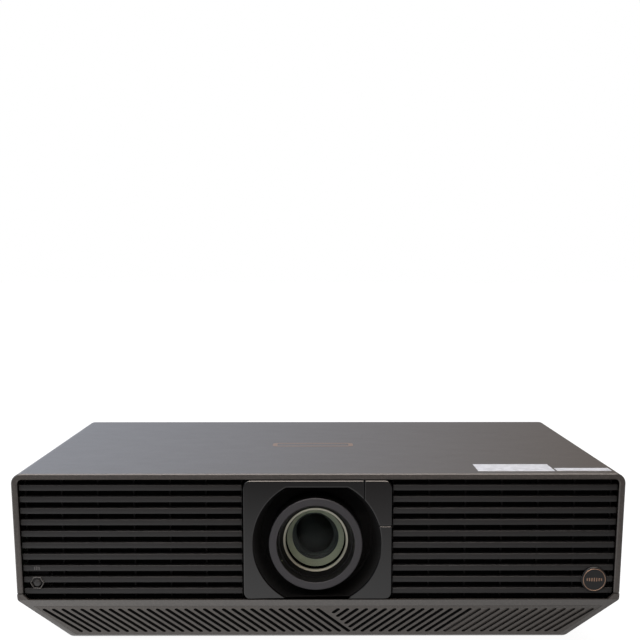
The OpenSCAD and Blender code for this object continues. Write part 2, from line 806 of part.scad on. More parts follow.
module power_board() color(board_green) {
    box(power_x0, power_y0, power_z, power_x1, power_y1, power_z + board_t);
    top = power_z + board_t - eps;
    box(power_x0 + 30, power_y0 + 18, top, power_x0 + 66, power_y0 + 50, top + 30);
    box(power_x0 + 34, power_y0 + 76, top, power_x0 + 58, power_y0 + 100, top + 24);
    for (y = [24, 48]) bar_z(top, top + 34, power_x0 + 16, power_y0 + y, 11);
    for (y = [80, 96, 112]) bar_z(top, top + 20, power_x0 + 14, power_y0 + y, 6);
    box(power_x0 + 70, power_y0 + 60, top, power_x0 + 73, power_y0 + 124, top + 32);
}

// ---------------------------------------------------------------------------
// Light engine

module optical_bench() color(alloy) {
    box(bench_x0, bench_y0, bench_z - bench_t, bench_x1, bench_y1, bench_z);
    for (x = [bench_x0 + 12, bench_x1 - 10], y = [bench_y0 + 8, bench_y1 - 8])
        bar_z(floor_z, bench_z - bench_t + eps, x, y, 5);
    low = bench_z - eps;
    box(lens_x - prism_w / 2, prism_y0, low, lens_x + prism_w / 2, prism_y1, lens_z - prism_w / 2);
    box(lens_x - prism_w / 2, prism_y1 - eps, low, lens_x + prism_w / 2, imager_y + board_t + 1,
        lens_z - 30);
    box(34, beam_y - 7, low, 44, beam_y + 7, lens_z - 10);
    box(laser_x0 + 2, beam_y - 20, low, laser_x1 - 2, beam_y + 20, lens_z - 24);
}

module laser_bank() color(copper) {
    box(laser_x0, beam_y - 24, lens_z - 24, laser_x1, beam_y + 24, lens_z + 24);
    for (dy = [-15:10:15], dz = [-14:14:14])
        bar_x(laser_x0 - 5, laser_x0 + eps, beam_y + dy, lens_z + dz, 4);
}

module laser_heatsink() color(alloy) {
    y0 = beam_y - 48;
    y1 = beam_y + 50;
    x1 = half_w - 22;
    box(laser_x1, y0, lens_z - 40, laser_x1 + 4, y1, lens_z + 34);
    for (k = [0:heatsink_fins - 1]) {
        y = y0 + k * (y1 - y0 - 1.5) / (heatsink_fins - 1);
        box(laser_x1 + 4 - eps, y, lens_z - 40, x1, y + 1.5, lens_z + 34);
    }
}

module wheel_motor() color(steel) {
    bar_x(wheel_x + 4, wheel_x + 20, wheel_y, lens_z, 12);
    bar_x(wheel_x - 4, wheel_x + 4 + eps, wheel_y, lens_z, screw_r);
    box(wheel_x + 8, wheel_y - 7, bench_z, wheel_x + 18, wheel_y + 7, lens_z - 8);
}

module phosphor_wheel() color(brass) difference() {
    union() {
        bar_x(wheel_x - 0.8, wheel_x + 0.8, wheel_y, lens_z, wheel_r);
        bar_x(wheel_x - 3, wheel_x + 3, wheel_y, lens_z, wheel_hub_r);
        // A balance weight, which also shows the wheel's turning
        bar_x(wheel_x - 2, wheel_x, wheel_y + 15, lens_z, 2);
    }
    bar_x(wheel_x - 5, wheel_x + 5, wheel_y, lens_z, screw_r + run_fit);
}

module light_tunnel() color(alloy) difference() {
    union() {
        box(lens_x + prism_w / 2 + 0.3, beam_y - 10, lens_z - 10, wheel_x - 6, beam_y + 10, lens_z + 10);
        for (x = [30, 48, 66])
            box(x, beam_y - 12, lens_z - 10, x + 3, beam_y + 12, lens_z + 12);
    }
    box(0, beam_y - 6, lens_z - 6, wheel_x, beam_y + 6, lens_z + 6);
}

module prism_block() color(glass_tint)
    box(lens_x - prism_w / 2, prism_y0, lens_z - prism_w / 2,
        lens_x + prism_w / 2, prism_y1, lens_z + prism_w / 2);

module imager_board() color(board_green) {
    box(lens_x - 32, imager_y, lens_z - 30, lens_x + 32, imager_y + board_t, lens_z + 30);
    box(lens_x - 12, prism_y1 + chip_gap, lens_z - 9, lens_x + 12, imager_y + eps, lens_z + 9);
}

module imager_heatsink() color(alloy) {
    y0 = imager_y + board_t;
    box(lens_x - 20, y0, lens_z - 20, lens_x + 20, y0 + 3.5, lens_z + 20);
    for (k = [0:8])
        box(lens_x - 20 + k * 4.8, y0 + 3.5 - eps, lens_z - 20, lens_x - 18.4 + k * 4.8, y0 + 28,
            lens_z + 20);
}

// ---------------------------------------------------------------------------
// Lens shift

module shift_frame() color(alloy) {
    difference() {
        box(lens_x - 68, frame_y, bench_z, lens_x + 68, frame_y + plate_t, lens_z + 42);
        bar_y(frame_y - over, frame_y + plate_t + over, opening_x, lens_z, 30);
    }
    for (s = [-1, 1]) {
        x = lens_x + s * rod_x;
        for (z = [lens_z - 50, lens_z + 36])
            box(x - 5, frame_y - 10, z, x + 5, frame_y + eps, z + 6);
        bar_z(lens_z - 50, lens_z + 42, x, rod_y, rod_r);
    }
}

module vertical_motor() color(steel) difference() {
    bar_z(bench_z, bench_z + 15, lens_x + lift_screw_x, rod_y, 7);
    bar_z(bench_z + 8, bench_z + 15 + over, lens_x + lift_screw_x, rod_y, screw_journal_r + run_fit);
}

module vertical_screw() color(steel) {
    bar_z(bench_z + 9, bench_z + 17, lens_x + lift_screw_x, rod_y, screw_journal_r);
    bar_z(bench_z + 16, lens_z + 24.5 + shift_v, lens_x + lift_screw_x, rod_y, screw_r);
}

module vertical_plate() color(alloy) difference() {
    union() {
        box(lens_x - 52, carriage_y, lens_z - 38, lens_x + 52, carriage_y + carriage_t, lens_z + 38);
        for (s = [-1, 1]) {
            x0 = lens_x + (s > 0 ? 50 : -65);
            box(x0, rod_y - 5, lens_z - 24, x0 + 15, rod_y + 4, lens_z + 24);
            for (dz = [-cross_rod_z, cross_rod_z]) {
                x1 = lens_x + (s > 0 ? 46 : -52);
                box(x1, cross_rod_y - 3, lens_z + dz - 4, x1 + 6, carriage_y + eps, lens_z + dz + 4);
            }
        }
        // Nut of the vertical screw and shelf of the horizontal motor
        box(lens_x + 64, rod_y - 5, lens_z - 6, lens_x + 81, rod_y + 4, lens_z + 6);
        box(motor_x - 3, carriage_y, lens_z + cross_screw_z - 7, motor_x + 19, carriage_y + carriage_t,
            lens_z + cross_screw_z + 7);
        for (dz = [-cross_rod_z, cross_rod_z])
            bar_x(lens_x - 52, lens_x + 52, cross_rod_y, lens_z + dz, rod_r);
    }
    bar_y(carriage_y - over, carriage_y + carriage_t + over, lens_x, lens_z, tail_r + 5);
    for (s = [-1, 1])
        bar_z(lens_z - 30, lens_z + 30, lens_x + s * rod_x, rod_y, rod_r + run_fit);
    bar_z(lens_z - 7, lens_z + 7, lens_x + lift_screw_x, rod_y, screw_r + run_fit);
}

module horizontal_motor() color(steel) difference() {
    z = lens_z + cross_screw_z;
    box(motor_x, cross_rod_y - 5, z - 5, motor_x + 18, carriage_y, z + 5);
    bar_x(motor_x - over, motor_x + 6, cross_rod_y, z, screw_journal_r + run_fit);
}

module horizontal_screw() color(steel) {
    bar_x(lens_x + 27 - 2 * shift_h, motor_x - 3, cross_rod_y, lens_z + cross_screw_z, screw_r);
    bar_x(motor_x - 4, motor_x + 5, cross_rod_y, lens_z + cross_screw_z, screw_journal_r);
}

// ---------------------------------------------------------------------------
// Lens

module lens_barrel() color(lens_grey) difference() {
    union() {
        turned() polygon([
            [ring_in_r, lens_y], [barrel_r - 0.6, lens_y], [barrel_r, lens_y + 0.6],
            [barrel_r, barrel_end_y], [seat_r, barrel_end_y], [seat_r, flange_y + eps],
            [bore_r, flange_y + eps], [bore_r, lens_y + 8]]);
        difference() {
            union() {
                along_y(flange_y, flange_y + plate_t)
                    rounded_rect(lens_x - flange_w / 2, lens_z - flange_h / 2,
                                 lens_x + flange_w / 2, lens_z + flange_h / 2, 4);
                bar_y(flange_y + plate_t - eps, tail_end_y, lens_x, lens_z, tail_r);
                for (dz = [-cross_rod_z, cross_rod_z])
                    box(lens_x - 36, flange_y + plate_t - eps, lens_z + dz - 4, lens_x + 36,
                        carriage_y - 0.5, lens_z + dz + 4);
                box(lens_x + 27, flange_y + plate_t - eps, lens_z + cross_screw_z - 4,
                    lens_x + 35, carriage_y - 0.5, lens_z + cross_screw_z + 4);
            }
            bar_y(flange_y - over, tail_end_y + over, lens_x, lens_z, tail_r - 3);
        }
    }
    for (dz = [-cross_rod_z, cross_rod_z])
        bar_x(lens_x - 37, lens_x + 37, cross_rod_y, lens_z + dz, rod_r + run_fit);
    bar_x(lens_x + 26, lens_x + 36, cross_rod_y, lens_z + cross_screw_z, screw_r + run_fit);
}

// Involute gear outline: a tooth is centred on the angle phase
function involute(rb, t) = rb * norm([1, t]);
function involute_deg(t) = (t - atan(t) * PI / 180) * 180 / PI;
function flank_t(rb, r) = r > rb ? sqrt(r * r / (rb * rb) - 1) : 0;

module gear_outline(teeth, phase) {
    rp = gear_module * teeth / 2;
    rb = rp * cos(20);
    r_tip = rp + 0.9 * gear_module;
    r_root = rp - 1.2 * gear_module;
    half = 90 / teeth - backlash / 2 / rp * 180 / PI / 2 + involute_deg(flank_t(rb, rp));
    radii = [r_root, max(rb, r_root + 0.01), rp, (rp + r_tip) / 2, r_tip];
    function lead(r) = half - involute_deg(flank_t(rb, r));
    polygon([for (k = [0:teeth - 1]) let (a = phase + k * 360 / teeth) each concat(
        [for (r = radii) r * [cos(a - lead(r)), sin(a - lead(r))]],
        [for (i = [4:-1:0]) radii[i] * [cos(a + lead(radii[i])), sin(a + lead(radii[i]))]])]);
}

module geared_ring(y) difference() {
    translate([lens_x, y + gear_w, lens_z]) rotate([90, 0, 0]) linear_extrude(gear_w)
        gear_outline(ring_teeth, 180 / ring_teeth);
    bar_y(y - over, y + gear_w + over, lens_x, lens_z, seat_r + run_fit);
}

// side is 1 on the right of the lens and -1 on the left
module pinion(side, y) {
    x = lens_x + side * gear_distance;
    translate([x, y + gear_w - 1, lens_z]) rotate([90, 0, 0]) linear_extrude(gear_w - 2)
        gear_outline(pinion_teeth, side > 0 ? 180 : 0);
    bar_y(y + gear_w - 1 - eps, y + gear_w + pinion_shaft_l, x, lens_z, pinion_shaft_r);
}

module lens_motor(side, y) difference() {
    x = lens_x + side * gear_distance;
    bar_y(y + gear_w + 2, flange_y, x, lens_z, motor_r);
    bar_y(y + gear_w + 1, y + gear_w + pinion_shaft_l + 1, x, lens_z, pinion_shaft_r + run_fit);
}

module focus_ring() color(matte_black) geared_ring(focus_ring_y);
module zoom_ring() color(matte_black) geared_ring(zoom_ring_y);
module focus_pinion() color(brass) pinion(1, focus_ring_y);
module zoom_pinion() color(brass) pinion(-1, zoom_ring_y);
module lens_motors() color(steel) {
    lens_motor(1, focus_ring_y);
    lens_motor(-1, zoom_ring_y);
}

module front_cell() color(lens_grey) turned() polygon([
    [bore_r - 0.8, cell_y], [bore_r - run_fit, cell_y], [bore_r - run_fit, cell_end_y],
    [aperture_r, cell_end_y], [aperture_r, stop_y], [glass_r - 5.1, stop_y],
    [glass_r - 5.1, glass_back_y], [glass_r + 0.1, glass_back_y], [glass_r + 0.1, glass_y]]);

glass_curve = (glass_r * glass_r + glass_sag * glass_sag) / (2 * glass_sag);

module front_glass() color(glass_tint) turned() intersection() {
    translate([0, glass_y - glass_sag + 0.3]) square([glass_r, glass_back_y - glass_y + glass_sag - 0.3]);
    translate([0, glass_y - glass_sag + 0.3 + glass_curve]) circle(r = glass_curve, $fn = 96);
}

module zoom_group() color(lens_grey) turned() {
    difference() {
        translate([glass_r - 6, zoom_group_y])
            square([bore_r - run_fit - glass_r + 6, zoom_group_d]);
        translate([glass_r - 6 - eps, zoom_group_y + 2])
            square([1, zoom_group_d - 4]);
    }
    translate([0, zoom_group_y + 2.1]) square([glass_r - 5.1, zoom_group_d - 4.2]);
}

// ---------------------------------------------------------------------------
// Fans. Each blows along Y; the struts are at the rear.

module fan_frame(x, y, z, size, depth) {
    difference() {
        along_y(y, y + depth) rounded_rect(x - size / 2, z - size / 2, x + size / 2, z + size / 2, 4);
        bar_y(y - over, y + depth + over, x, z, size / 2 - 1.5);
        for (sx = [-1, 1], sz = [-1, 1])
            bar_y(y - over, y + depth + over, x + sx * (size / 2 - 4.5), z + sz * (size / 2 - 4.5), 2.1);
    }
    bar_y(y + depth - 3.2, y + depth - 0.2, x, z, size * 0.19);
    for (a = [30, 150, 270])
        translate([x, y + depth - 3, z]) rotate([0, a, 0])
            translate([size * 0.18, 0, -1.5]) cube([size * 0.32 - 0.8, 2.5, 3]);
    bar_y(y + 3, y + depth - 3, x, z, size * 0.025);
}

module fan_rotor(x, y, z, size, depth) color(matte_black) {
    hub_r = size * 0.18;
    span = depth - 6;
    difference() {
        union() {
            bar_y(y + 2, y + 2 + span - 0.6, x, z, hub_r);
            intersection() {
                bar_y(y + 1.5, y + 1.5 + span, x, z, size / 2 - 1.5 - blade_gap);
                for (k = [0:6])
                    translate([x, y + 1.5 + span / 2, z]) rotate([0, k * 360 / 7, 0]) rotate([40, 0, 0])
                        translate([hub_r - 1, -0.7, -span * 0.62])
                            cube([size / 2 - hub_r, 1.4, span * 1.24]);
            }
        }
        bar_y(y, y + depth, x, z, size * 0.025 + run_fit);
    }
}

module fan_frames() color(matte_black) {
    for (s = [-1, 1]) fan_frame(s * fan_x, fan_y, fan_z, fan_size, fan_d);
    fan_frame(small_fan_x, small_fan_y, small_fan_z, small_fan_size, small_fan_d);
}

module fan_rotor_left() fan_rotor(-fan_x, fan_y, fan_z, fan_size, fan_d);
module fan_rotor_right() fan_rotor(fan_x, fan_y, fan_z, fan_size, fan_d);
module fan_rotor_laser() fan_rotor(small_fan_x, small_fan_y, small_fan_z, small_fan_size, small_fan_d);

// ---------------------------------------------------------------------------
// Loudspeakers

speaker_x = half_w - 35;
speaker_y1 = rear_panel_y - 14;
driver_r = 17;

module speaker_boxes() color(matte_black) for (s = [-1, 1]) difference() {
    x0 = s * speaker_x - 20;
    box(x0, speaker_y1 - 70, fold_z + 2, x0 + 40, speaker_y1, roof_z - 12);
    box(x0 + 2.5, speaker_y1 - 67.5, fold_z + 4.5, x0 + 37.5, speaker_y1 - 2.5, roof_z - 14.5);
    bar_y(speaker_y1 - 5, speaker_y1 + over, s * speaker_x, lens_z, driver_r - 2);
}

module speaker_drivers() color(lens_grey) for (s = [-1, 1])
    translate([s * speaker_x, speaker_y1, lens_z]) rotate([-90, 0, 0]) rotate_extrude()
        polygon([[0, -16], [9, -16], [9, -9], [driver_r - 2.3, 0], [driver_r, 0], [driver_r, 2.5],
                 [driver_r - 2, 3.5], [driver_r - 4, 1.5], [5, -5], [3, -3.5], [0, -2.8]]);

// ---------------------------------------------------------------------------
// Joystick button: the rocker tilts up and down on the switch, the stem tilts left and right
// in the rocker, and the cap slides on the stem.

module joystick_base() color(matte_black) {
    box(button_x - 6, switch_y, button_z - 6, button_x + 6, switch_y + 5, button_z + 6);
    box(button_x - 7.5, switch_y + 5 - eps, button_z - 8, button_x + 7.5, switch_y + 6.5, button_z + 8);
}

module joystick_rocker() color(matte_black) {
    difference() {
        bar_y(pivot_y - 0.6, pivot_y + 0.6, button_x, button_z, boss_bore_r - 0.4);
        bar_y(pivot_y - 1, pivot_y + 0.2, button_x, button_z, 1.5);
    }
    bar_y(pivot_y + 0.6 - eps, switch_y - 0.4, button_x, button_z, 1.2);
}

module joystick_stem() color(steel)
    bar_y(button_y + 3.6, pivot_y + 0.1, button_x, button_z, 0.9);

module joystick_cap() color(matte_black) difference() {
    bar_y(button_y, button_y + 5.2, button_x, button_z, cap_r);
    bar_y(button_y + 3.6 - cap_travel - 0.4, button_y + 6, button_x, button_z, 0.9 + run_fit);
}

// ---------------------------------------------------------------------------
// Underside

module ceiling_inserts() color(brass) for (p = insert_xy) difference() {
    bar_z(base_z, base_z + insert_l - 0.2, p[0], p[1], insert_r);
    bar_z(base_z - over, base_z + insert_l, p[0], p[1], insert_hole_r);
}

module case_screws() color(steel) for (p = case_screw_xy) difference() {
    union() {
        bar_z(base_z + 0.3, base_z + 1.9, p[0], p[1], case_head_r);
        bar_z(base_z + 1.8, base_z + 8.5, p[0], p[1], case_head_r / 2);
    }
    translate([p[0], p[1], base_z]) cylinder(h = 1.2, r = case_head_r * 0.45, $fn = 6);
}

module rear_feet() color(rubber) for (s = [-1, 1])
    bar_z(0, base_z, s * foot_x, rear_foot_y, pad_r);

module foot_pad(side) color(rubber) difference() {
    bar_z(0, pad_h, side * foot_x, foot_y, pad_r);
    bar_z(stem_z0 - 0.1, pad_h + over, side * foot_x, foot_y, stem_r + run_fit);
}

module foot_stem(side) color(steel) bar_z(stem_z0, stem_z0 + stem_l, side * foot_x, foot_y, stem_r);

module foot_pad_left() foot_pad(-1);
module foot_stem_left() foot_stem(-1);
module foot_pad_right() foot_pad(1);
module foot_stem_right() foot_stem(1);

// ---------------------------------------------------------------------------

top_cover();
base_tray();
front_grille();
side_grilles();
louvre_left();
louvre_right();
lens_bezel();
sensor_window();
lens_well();
badge();
top_stickers();
top_emblem();
rear_panel();
hdmi_sockets();
usb_network_socket();
audio_sockets();
mains_inlet();
main_board();
power_board();
optical_bench();
laser_bank();
laser_heatsink();
wheel_motor();
phosphor_wheel();
light_tunnel();
prism_block();
imager_board();
imager_heatsink();
shift_frame();
vertical_motor();
vertical_screw();
vertical_plate();
horizontal_motor();
horizontal_screw();
lens_barrel();
lens_motors();
focus_ring();
focus_pinion();
front_cell();
front_glass();
zoom_ring();
zoom_pinion();
zoom_group();
fan_frames();
fan_rotor_left();
fan_rotor_right();
fan_rotor_laser();
speaker_boxes();
speaker_drivers();
joystick_base();
joystick_rocker();
joystick_stem();
joystick_cap();
ceiling_inserts();
case_screws();
rear_feet();
foot_pad_left();
foot_stem_left();
foot_pad_right();
foot_stem_right();
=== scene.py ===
"""A home projector in satin paint: shells, louvred front, bezel, zoom lens, feet and the works inside."""

import logging
import math
from dataclasses import dataclass
from enum import Enum
from typing import Callable, Dict, List, Sequence, Tuple

import bmesh
import bpy
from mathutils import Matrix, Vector


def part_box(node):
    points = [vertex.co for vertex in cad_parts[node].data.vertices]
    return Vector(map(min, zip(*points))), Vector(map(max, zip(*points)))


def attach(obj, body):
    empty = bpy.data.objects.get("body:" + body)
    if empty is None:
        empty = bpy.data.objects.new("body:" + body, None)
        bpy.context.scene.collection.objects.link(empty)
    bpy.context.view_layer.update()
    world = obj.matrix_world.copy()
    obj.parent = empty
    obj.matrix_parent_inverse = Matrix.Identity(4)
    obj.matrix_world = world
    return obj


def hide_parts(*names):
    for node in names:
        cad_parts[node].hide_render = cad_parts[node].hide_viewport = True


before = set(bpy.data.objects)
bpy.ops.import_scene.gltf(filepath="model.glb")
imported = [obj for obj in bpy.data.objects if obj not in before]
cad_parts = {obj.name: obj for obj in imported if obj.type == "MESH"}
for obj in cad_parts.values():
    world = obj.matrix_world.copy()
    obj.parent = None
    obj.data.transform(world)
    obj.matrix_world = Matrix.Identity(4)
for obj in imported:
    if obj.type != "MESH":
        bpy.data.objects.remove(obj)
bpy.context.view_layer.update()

LOG = logging.getLogger("projector")
MM = 0.001
# How near to a piece's end a corner counts as standing at it, in millimetres
NEAR = 1.0
# How squarely a face looks along an axis to be picked by it
SQUARELY = 0.9
# How many finer layers lie on the lumps of a finish's noise
LAYERS = 3.0
# How many patches of gloss lie across one patch of colour
GLOSS_PATCHES = 6
# The width of the small edge break on black pieces that are hardly seen, in millimetres
FINE_EDGE = 0.2

Point = Tuple[float, float]
Colour = Tuple[float, float, float, float]


class Axis(Enum):
    """The line that a turned piece is turned about."""

    LENS = "Y"
    UPRIGHT = "Z"


class Side(Enum):
    """The side of the body as seen from the front."""

    LEFT = -1
    RIGHT = 1


# ---------------------------------------------------------------------------
# Materials


def linear(hex_colour: str) -> Colour:
    """Turns an sRGB hex colour to linear light.

    Args:
        hex_colour: Six hex digits after a hash sign.

    Returns:
        Red, green, blue and an alpha of 1.
    """
    channels = [int(hex_colour[i:i + 2], 16) / 255 for i in (1, 3, 5)]
    light = [c / 12.92 if c <= 0.04045 else ((c + 0.055) / 1.055) ** 2.4 for c in channels]
    return (light[0], light[1], light[2], 1.0)


def add_node(tree: bpy.types.NodeTree, kind: str, inputs: Dict, **settings) -> bpy.types.Node:
    """Adds a node with its settings, values and links.

    Args:
        tree: The material's node tree.
        kind: The node's type name.
        inputs: Input socket, by name or number, to a value or to the socket that feeds it.
        settings: The node's own properties.

    Returns:
        The new node.
    """
    node = tree.nodes.new(kind)
    for key, value in settings.items():
        setattr(node, key, value)
    for key, value in inputs.items():
        if isinstance(value, bpy.types.NodeSocket):
            tree.links.new(value, node.inputs[key])
        else:
            node.inputs[key].default_value = value
    return node


def per_metre(size_mm: float) -> float:
    """Returns how many lumps or lines of a size lie in a metre."""
    return 1000 / size_mm


@dataclass(frozen=True)
class Finish:
    """A material and how its surface was made: two close colours, a gloss and a fine grain."""

    name: str
    colour: str
    second: str
    roughness: float = 0.5
    gloss_swing: float = 0.08
    metallic: float = 0.0
    patch_mm: float = 45.0
    grain_mm: float = 1.2
    grain_depth_mm: float = 0.01
    coat: float = 0.0
    coat_roughness: float = 0.1

    def place(self, tree: bpy.types.NodeTree) -> bpy.types.NodeSocket:
        """Returns the object's own coordinates, in metres."""
        return add_node(tree, "ShaderNodeTexCoord", {}).outputs["Object"]

    def paint(self, tree: bpy.types.NodeTree, place: bpy.types.NodeSocket) -> bpy.types.NodeSocket:
        """Makes the colour: a slow drift between the finish's two colours.

        Args:
            tree: The material's node tree.
            place: The coordinates to read.

        Returns:
            The colour.
        """
        drift = add_node(tree, "ShaderNodeTexNoise",
                         {"Vector": place, "Scale": per_metre(self.patch_mm), "Detail": LAYERS})
        mixed = add_node(tree, "ShaderNodeMix",
                         {0: drift.outputs["Fac"], 6: linear(self.colour), 7: linear(self.second)},
                         data_type="RGBA")
        return mixed.outputs[2]

    def height(self, tree: bpy.types.NodeTree, place: bpy.types.NodeSocket) -> bpy.types.NodeSocket:
        """Makes the fine grain.

        Args:
            tree: The material's node tree.
            place: The coordinates to read.

        Returns:
            The grain's height from 0 to 1.
        """
        grain = add_node(tree, "ShaderNodeTexNoise",
                         {"Vector": place, "Scale": per_metre(self.grain_mm), "Detail": LAYERS})
        return grain.outputs["Fac"]

    def settle(self, shader: bpy.types.Node) -> None:
        """Sets what is the same all over the surface.

        Args:
            shader: The material's shader.
        """
        shader.inputs["Metallic"].default_value = self.metallic
        shader.inputs["Coat Weight"].default_value = self.coat
        shader.inputs["Coat Roughness"].default_value = self.coat_roughness

    def material(self) -> bpy.types.Material:
        """Makes the material the first time that it is asked for.

        Returns:
            The material.
        """
        known = bpy.data.materials.get(self.name)
        if known:
            return known
        material = bpy.data.materials.new(self.name)
        material.use_nodes = True
        tree = material.node_tree
        shader = next(n for n in tree.nodes if n.type == "BSDF_PRINCIPLED")
        place = self.place(tree)
        tree.links.new(self.paint(tree, place), shader.inputs["Base Color"])
        gloss = add_node(tree, "ShaderNodeTexNoise",
                         {"Vector": place, "Scale": per_metre(self.patch_mm / GLOSS_PATCHES),
                          "Detail": LAYERS})
        swing = add_node(tree, "ShaderNodeMapRange",
                         {"Value": gloss.outputs["Fac"],
                          "To Min": max(self.roughness - self.gloss_swing, 0.02),
                          "To Max": min(self.roughness + self.gloss_swing, 1.0)})
        tree.links.new(swing.outputs[0], shader.inputs["Roughness"])
        bump = add_node(tree, "ShaderNodeBump",
                        {"Height": self.height(tree, place), "Distance": self.grain_depth_mm * MM,
                         "Strength": 1.0})
        tree.links.new(bump.outputs[0], shader.inputs["Normal"])
        self.settle(shader)
        return material


@dataclass(frozen=True)
class FlakePaint(Finish):
    """Satin metallic paint: fine aluminium flakes in a warm grey coat."""

    flake: str = "#6a645e"
    flake_mm: float = 0.9

    def paint(self, tree: bpy.types.NodeTree, place: bpy.types.NodeSocket) -> bpy.types.NodeSocket:
        """Makes the coat's colour with a faint sparkle of flakes, drawn coarse so that it shows.

        Args:
            tree: The material's node tree.
            place: The coordinates to read.

        Returns:
            The colour.
        """
        base = super().paint(tree, place)
        cells = add_node(tree, "ShaderNodeTexVoronoi",
                         {"Vector": place, "Scale": per_metre(self.flake_mm)})
        share = add_node(tree, "ShaderNodeMapRange",
                         {"Value": cells.outputs["Color"], "From Min": 0.45, "From Max": 1.0,
                          "To Max": 0.35})
        mixed = add_node(tree, "ShaderNodeMix", {0: share.outputs[0], 6: base, 7: linear(self.flake)},
                         data_type="RGBA")
        return mixed.outputs[2]


@dataclass(frozen=True)
class TurnedMetal(Finish):
    """Metal cut on a lathe: fine rings about the lens axis."""

    centre_x_mm: float = -2.0
    centre_z_mm: float = 84.0
    spacing_mm: float = 0.5

    def height(self, tree: bpy.types.NodeTree, place: bpy.types.NodeSocket) -> bpy.types.NodeSocket:
        """Makes the turning marks, drawn coarse enough to show.

        Args:
            tree: The material's node tree.
            place: The coordinates to read.

        Returns:
            Their height from 0 to 1.
        """
        centred = add_node(tree, "ShaderNodeMapping",
                           {"Vector": place,
                            "Location": (-self.centre_x_mm * MM, 0.0, -self.centre_z_mm * MM)})
        rings = add_node(tree, "ShaderNodeTexWave",
                         {"Vector": centred.outputs[0], "Scale": per_metre(self.spacing_mm) / math.tau,
                          "Distortion": 0.3},
                         wave_type="RINGS", rings_direction="Y")
        return rings.outputs["Fac"]


@dataclass(frozen=True)
class BrushedMetal(Finish):
    """Rolled or brushed metal: short scratches that run one way."""

    run: Tuple[float, float, float] = (0.05, 1.0, 1.0)

    def height(self, tree: bpy.types.NodeTree, place: bpy.types.NodeSocket) -> bpy.types.NodeSocket:
        """Makes the scratches: a noise drawn out along their run.

        Args:
            tree: The material's node tree.
            place: The coordinates to read.

        Returns:
            Their height from 0 to 1.
        """
        drawn = add_node(tree, "ShaderNodeMapping", {"Vector": place, "Scale": self.run})
        scratches = add_node(tree, "ShaderNodeTexNoise",
                             {"Vector": drawn.outputs[0], "Scale": per_metre(self.grain_mm),
                              "Detail": LAYERS + 1})
        return scratches.outputs["Fac"]


@dataclass(frozen=True)
class CircuitBoard(Finish):
    """Glass-epoxy board under dark solder resist, with copper tracks that show through it."""

    track: str = "#2f6a3d"
    track_mm: float = 2.4

    def paint(self, tree: bpy.types.NodeTree, place: bpy.types.NodeSocket) -> bpy.types.NodeSocket:
        """Makes the resist's colour with a pattern of tracks.

        Args:
            tree: The material's node tree.
            place: The coordinates to read.

        Returns:
            The colour.
        """
        board, copper = (0, 0, 0, 1), (1, 1, 1, 1)
        base = super().paint(tree, place)
        lines = add_node(tree, "ShaderNodeTexBrick",
                         {"Vector": place, "Scale": per_metre(4 * self.track_mm), "Mortar Size": 0.05,
                          "Color1": board, "Color2": board, "Mortar": copper})
        mixed = add_node(tree, "ShaderNodeMix",
                         {0: lines.outputs["Color"], 6: base, 7: linear(self.track)},
                         data_type="RGBA")
        return mixed.outputs[2]


@dataclass(frozen=True)
class PrintedPaper(Finish):
    """Glossy paper label with faint grey bars of plain print, no letters."""

    ink: str = "#a9abb0"
    line_mm: float = 2.6
    word_mm: float = 6.0

    def paint(self, tree: bpy.types.NodeTree, place: bpy.types.NodeSocket) -> bpy.types.NodeSocket:
        """Makes the paper's white with broken grey lines.

        Args:
            tree: The material's node tree.
            place: The coordinates to read.

        Returns:
            The colour.
        """
        base = super().paint(tree, place)
        bars = add_node(tree, "ShaderNodeTexWave",
                        {"Vector": place, "Scale": per_metre(self.line_mm) / math.tau,
                         "Distortion": 0.0},
                        wave_type="BANDS", bands_direction="Y")
        breaks = add_node(tree, "ShaderNodeTexNoise",
                          {"Vector": place, "Scale": per_metre(self.word_mm), "Detail": 1.0})
        both = add_node(tree, "ShaderNodeMath", {0: bars.outputs["Fac"], 1: breaks.outputs["Fac"]},
                        operation="MULTIPLY")
        share = add_node(tree, "ShaderNodeMapRange",
                         {"Value": both.outputs[0], "From Min": 0.42, "From Max": 0.5, "To Max": 0.8})
        mixed = add_node(tree, "ShaderNodeMix", {0: share.outputs[0], 6: base, 7: linear(self.ink)},
                         data_type="RGBA")
        return mixed.outputs[2]


@dataclass(frozen=True)
class CoatedGlass(Finish):
    """Optical glass with an anti-reflection coating, which gives a faint green and violet gloss."""

    tint: str = "#9fc6b4"
    transmission: float = 1.0
    ior: float = 1.5

    def settle(self, shader: bpy.types.Node) -> None:
        """Sets the glass's clearness, and the coating as a thin tinted coat.

        Args:
            shader: The material's shader.
        """
        super().settle(shader)
        shader.inputs["Transmission Weight"].default_value = self.transmission
        shader.inputs["IOR"].default_value = self.ior
        shader.inputs["Coat Tint"].default_value = linear(self.tint)


# Sprayed satin lacquer over the shells: a soft sheen that turns lighter along the edges
SATIN_PAINT = FlakePaint("satin_metallic_paint", "#45413e", "#4b4744", roughness=0.34, gloss_swing=0.03,
                         metallic=0.25, patch_mm=120.0, grain_mm=0.9, grain_depth_mm=0.003, coat=0.3,
                         coat_roughness=0.18)
# The same lacquer on the slotted panels, a touch rougher from its thinner film
GRILLE_PAINT = FlakePaint("satin_paint_on_grille", "#433e3a", "#4a4541", roughness=0.42,
                          gloss_swing=0.04, metallic=0.25, patch_mm=60.0, grain_mm=0.9,
                          grain_depth_mm=0.004, flake="#665f59")
# Fine-grained moulded ABS: even dark grey slats without a highlight
LOUVRE_ABS = Finish("matt_moulded_abs", "#161515", "#1a1919", roughness=0.5, gloss_swing=0.06,
                    patch_mm=70.0, grain_mm=0.8, grain_depth_mm=0.012)
# Unpainted black ABS: what stands behind the slats sinks into the dark. The same near-black on the
# grilles' slot walls is painted shade
RIB_ABS_AND_SLOT_SHADE = Finish("black_abs_and_painted_slot_shade", "#0a0a0a", "#0e0e0e", roughness=0.6, gloss_swing=0.06,
                 patch_mm=30.0, grain_mm=0.8, grain_depth_mm=0.012)
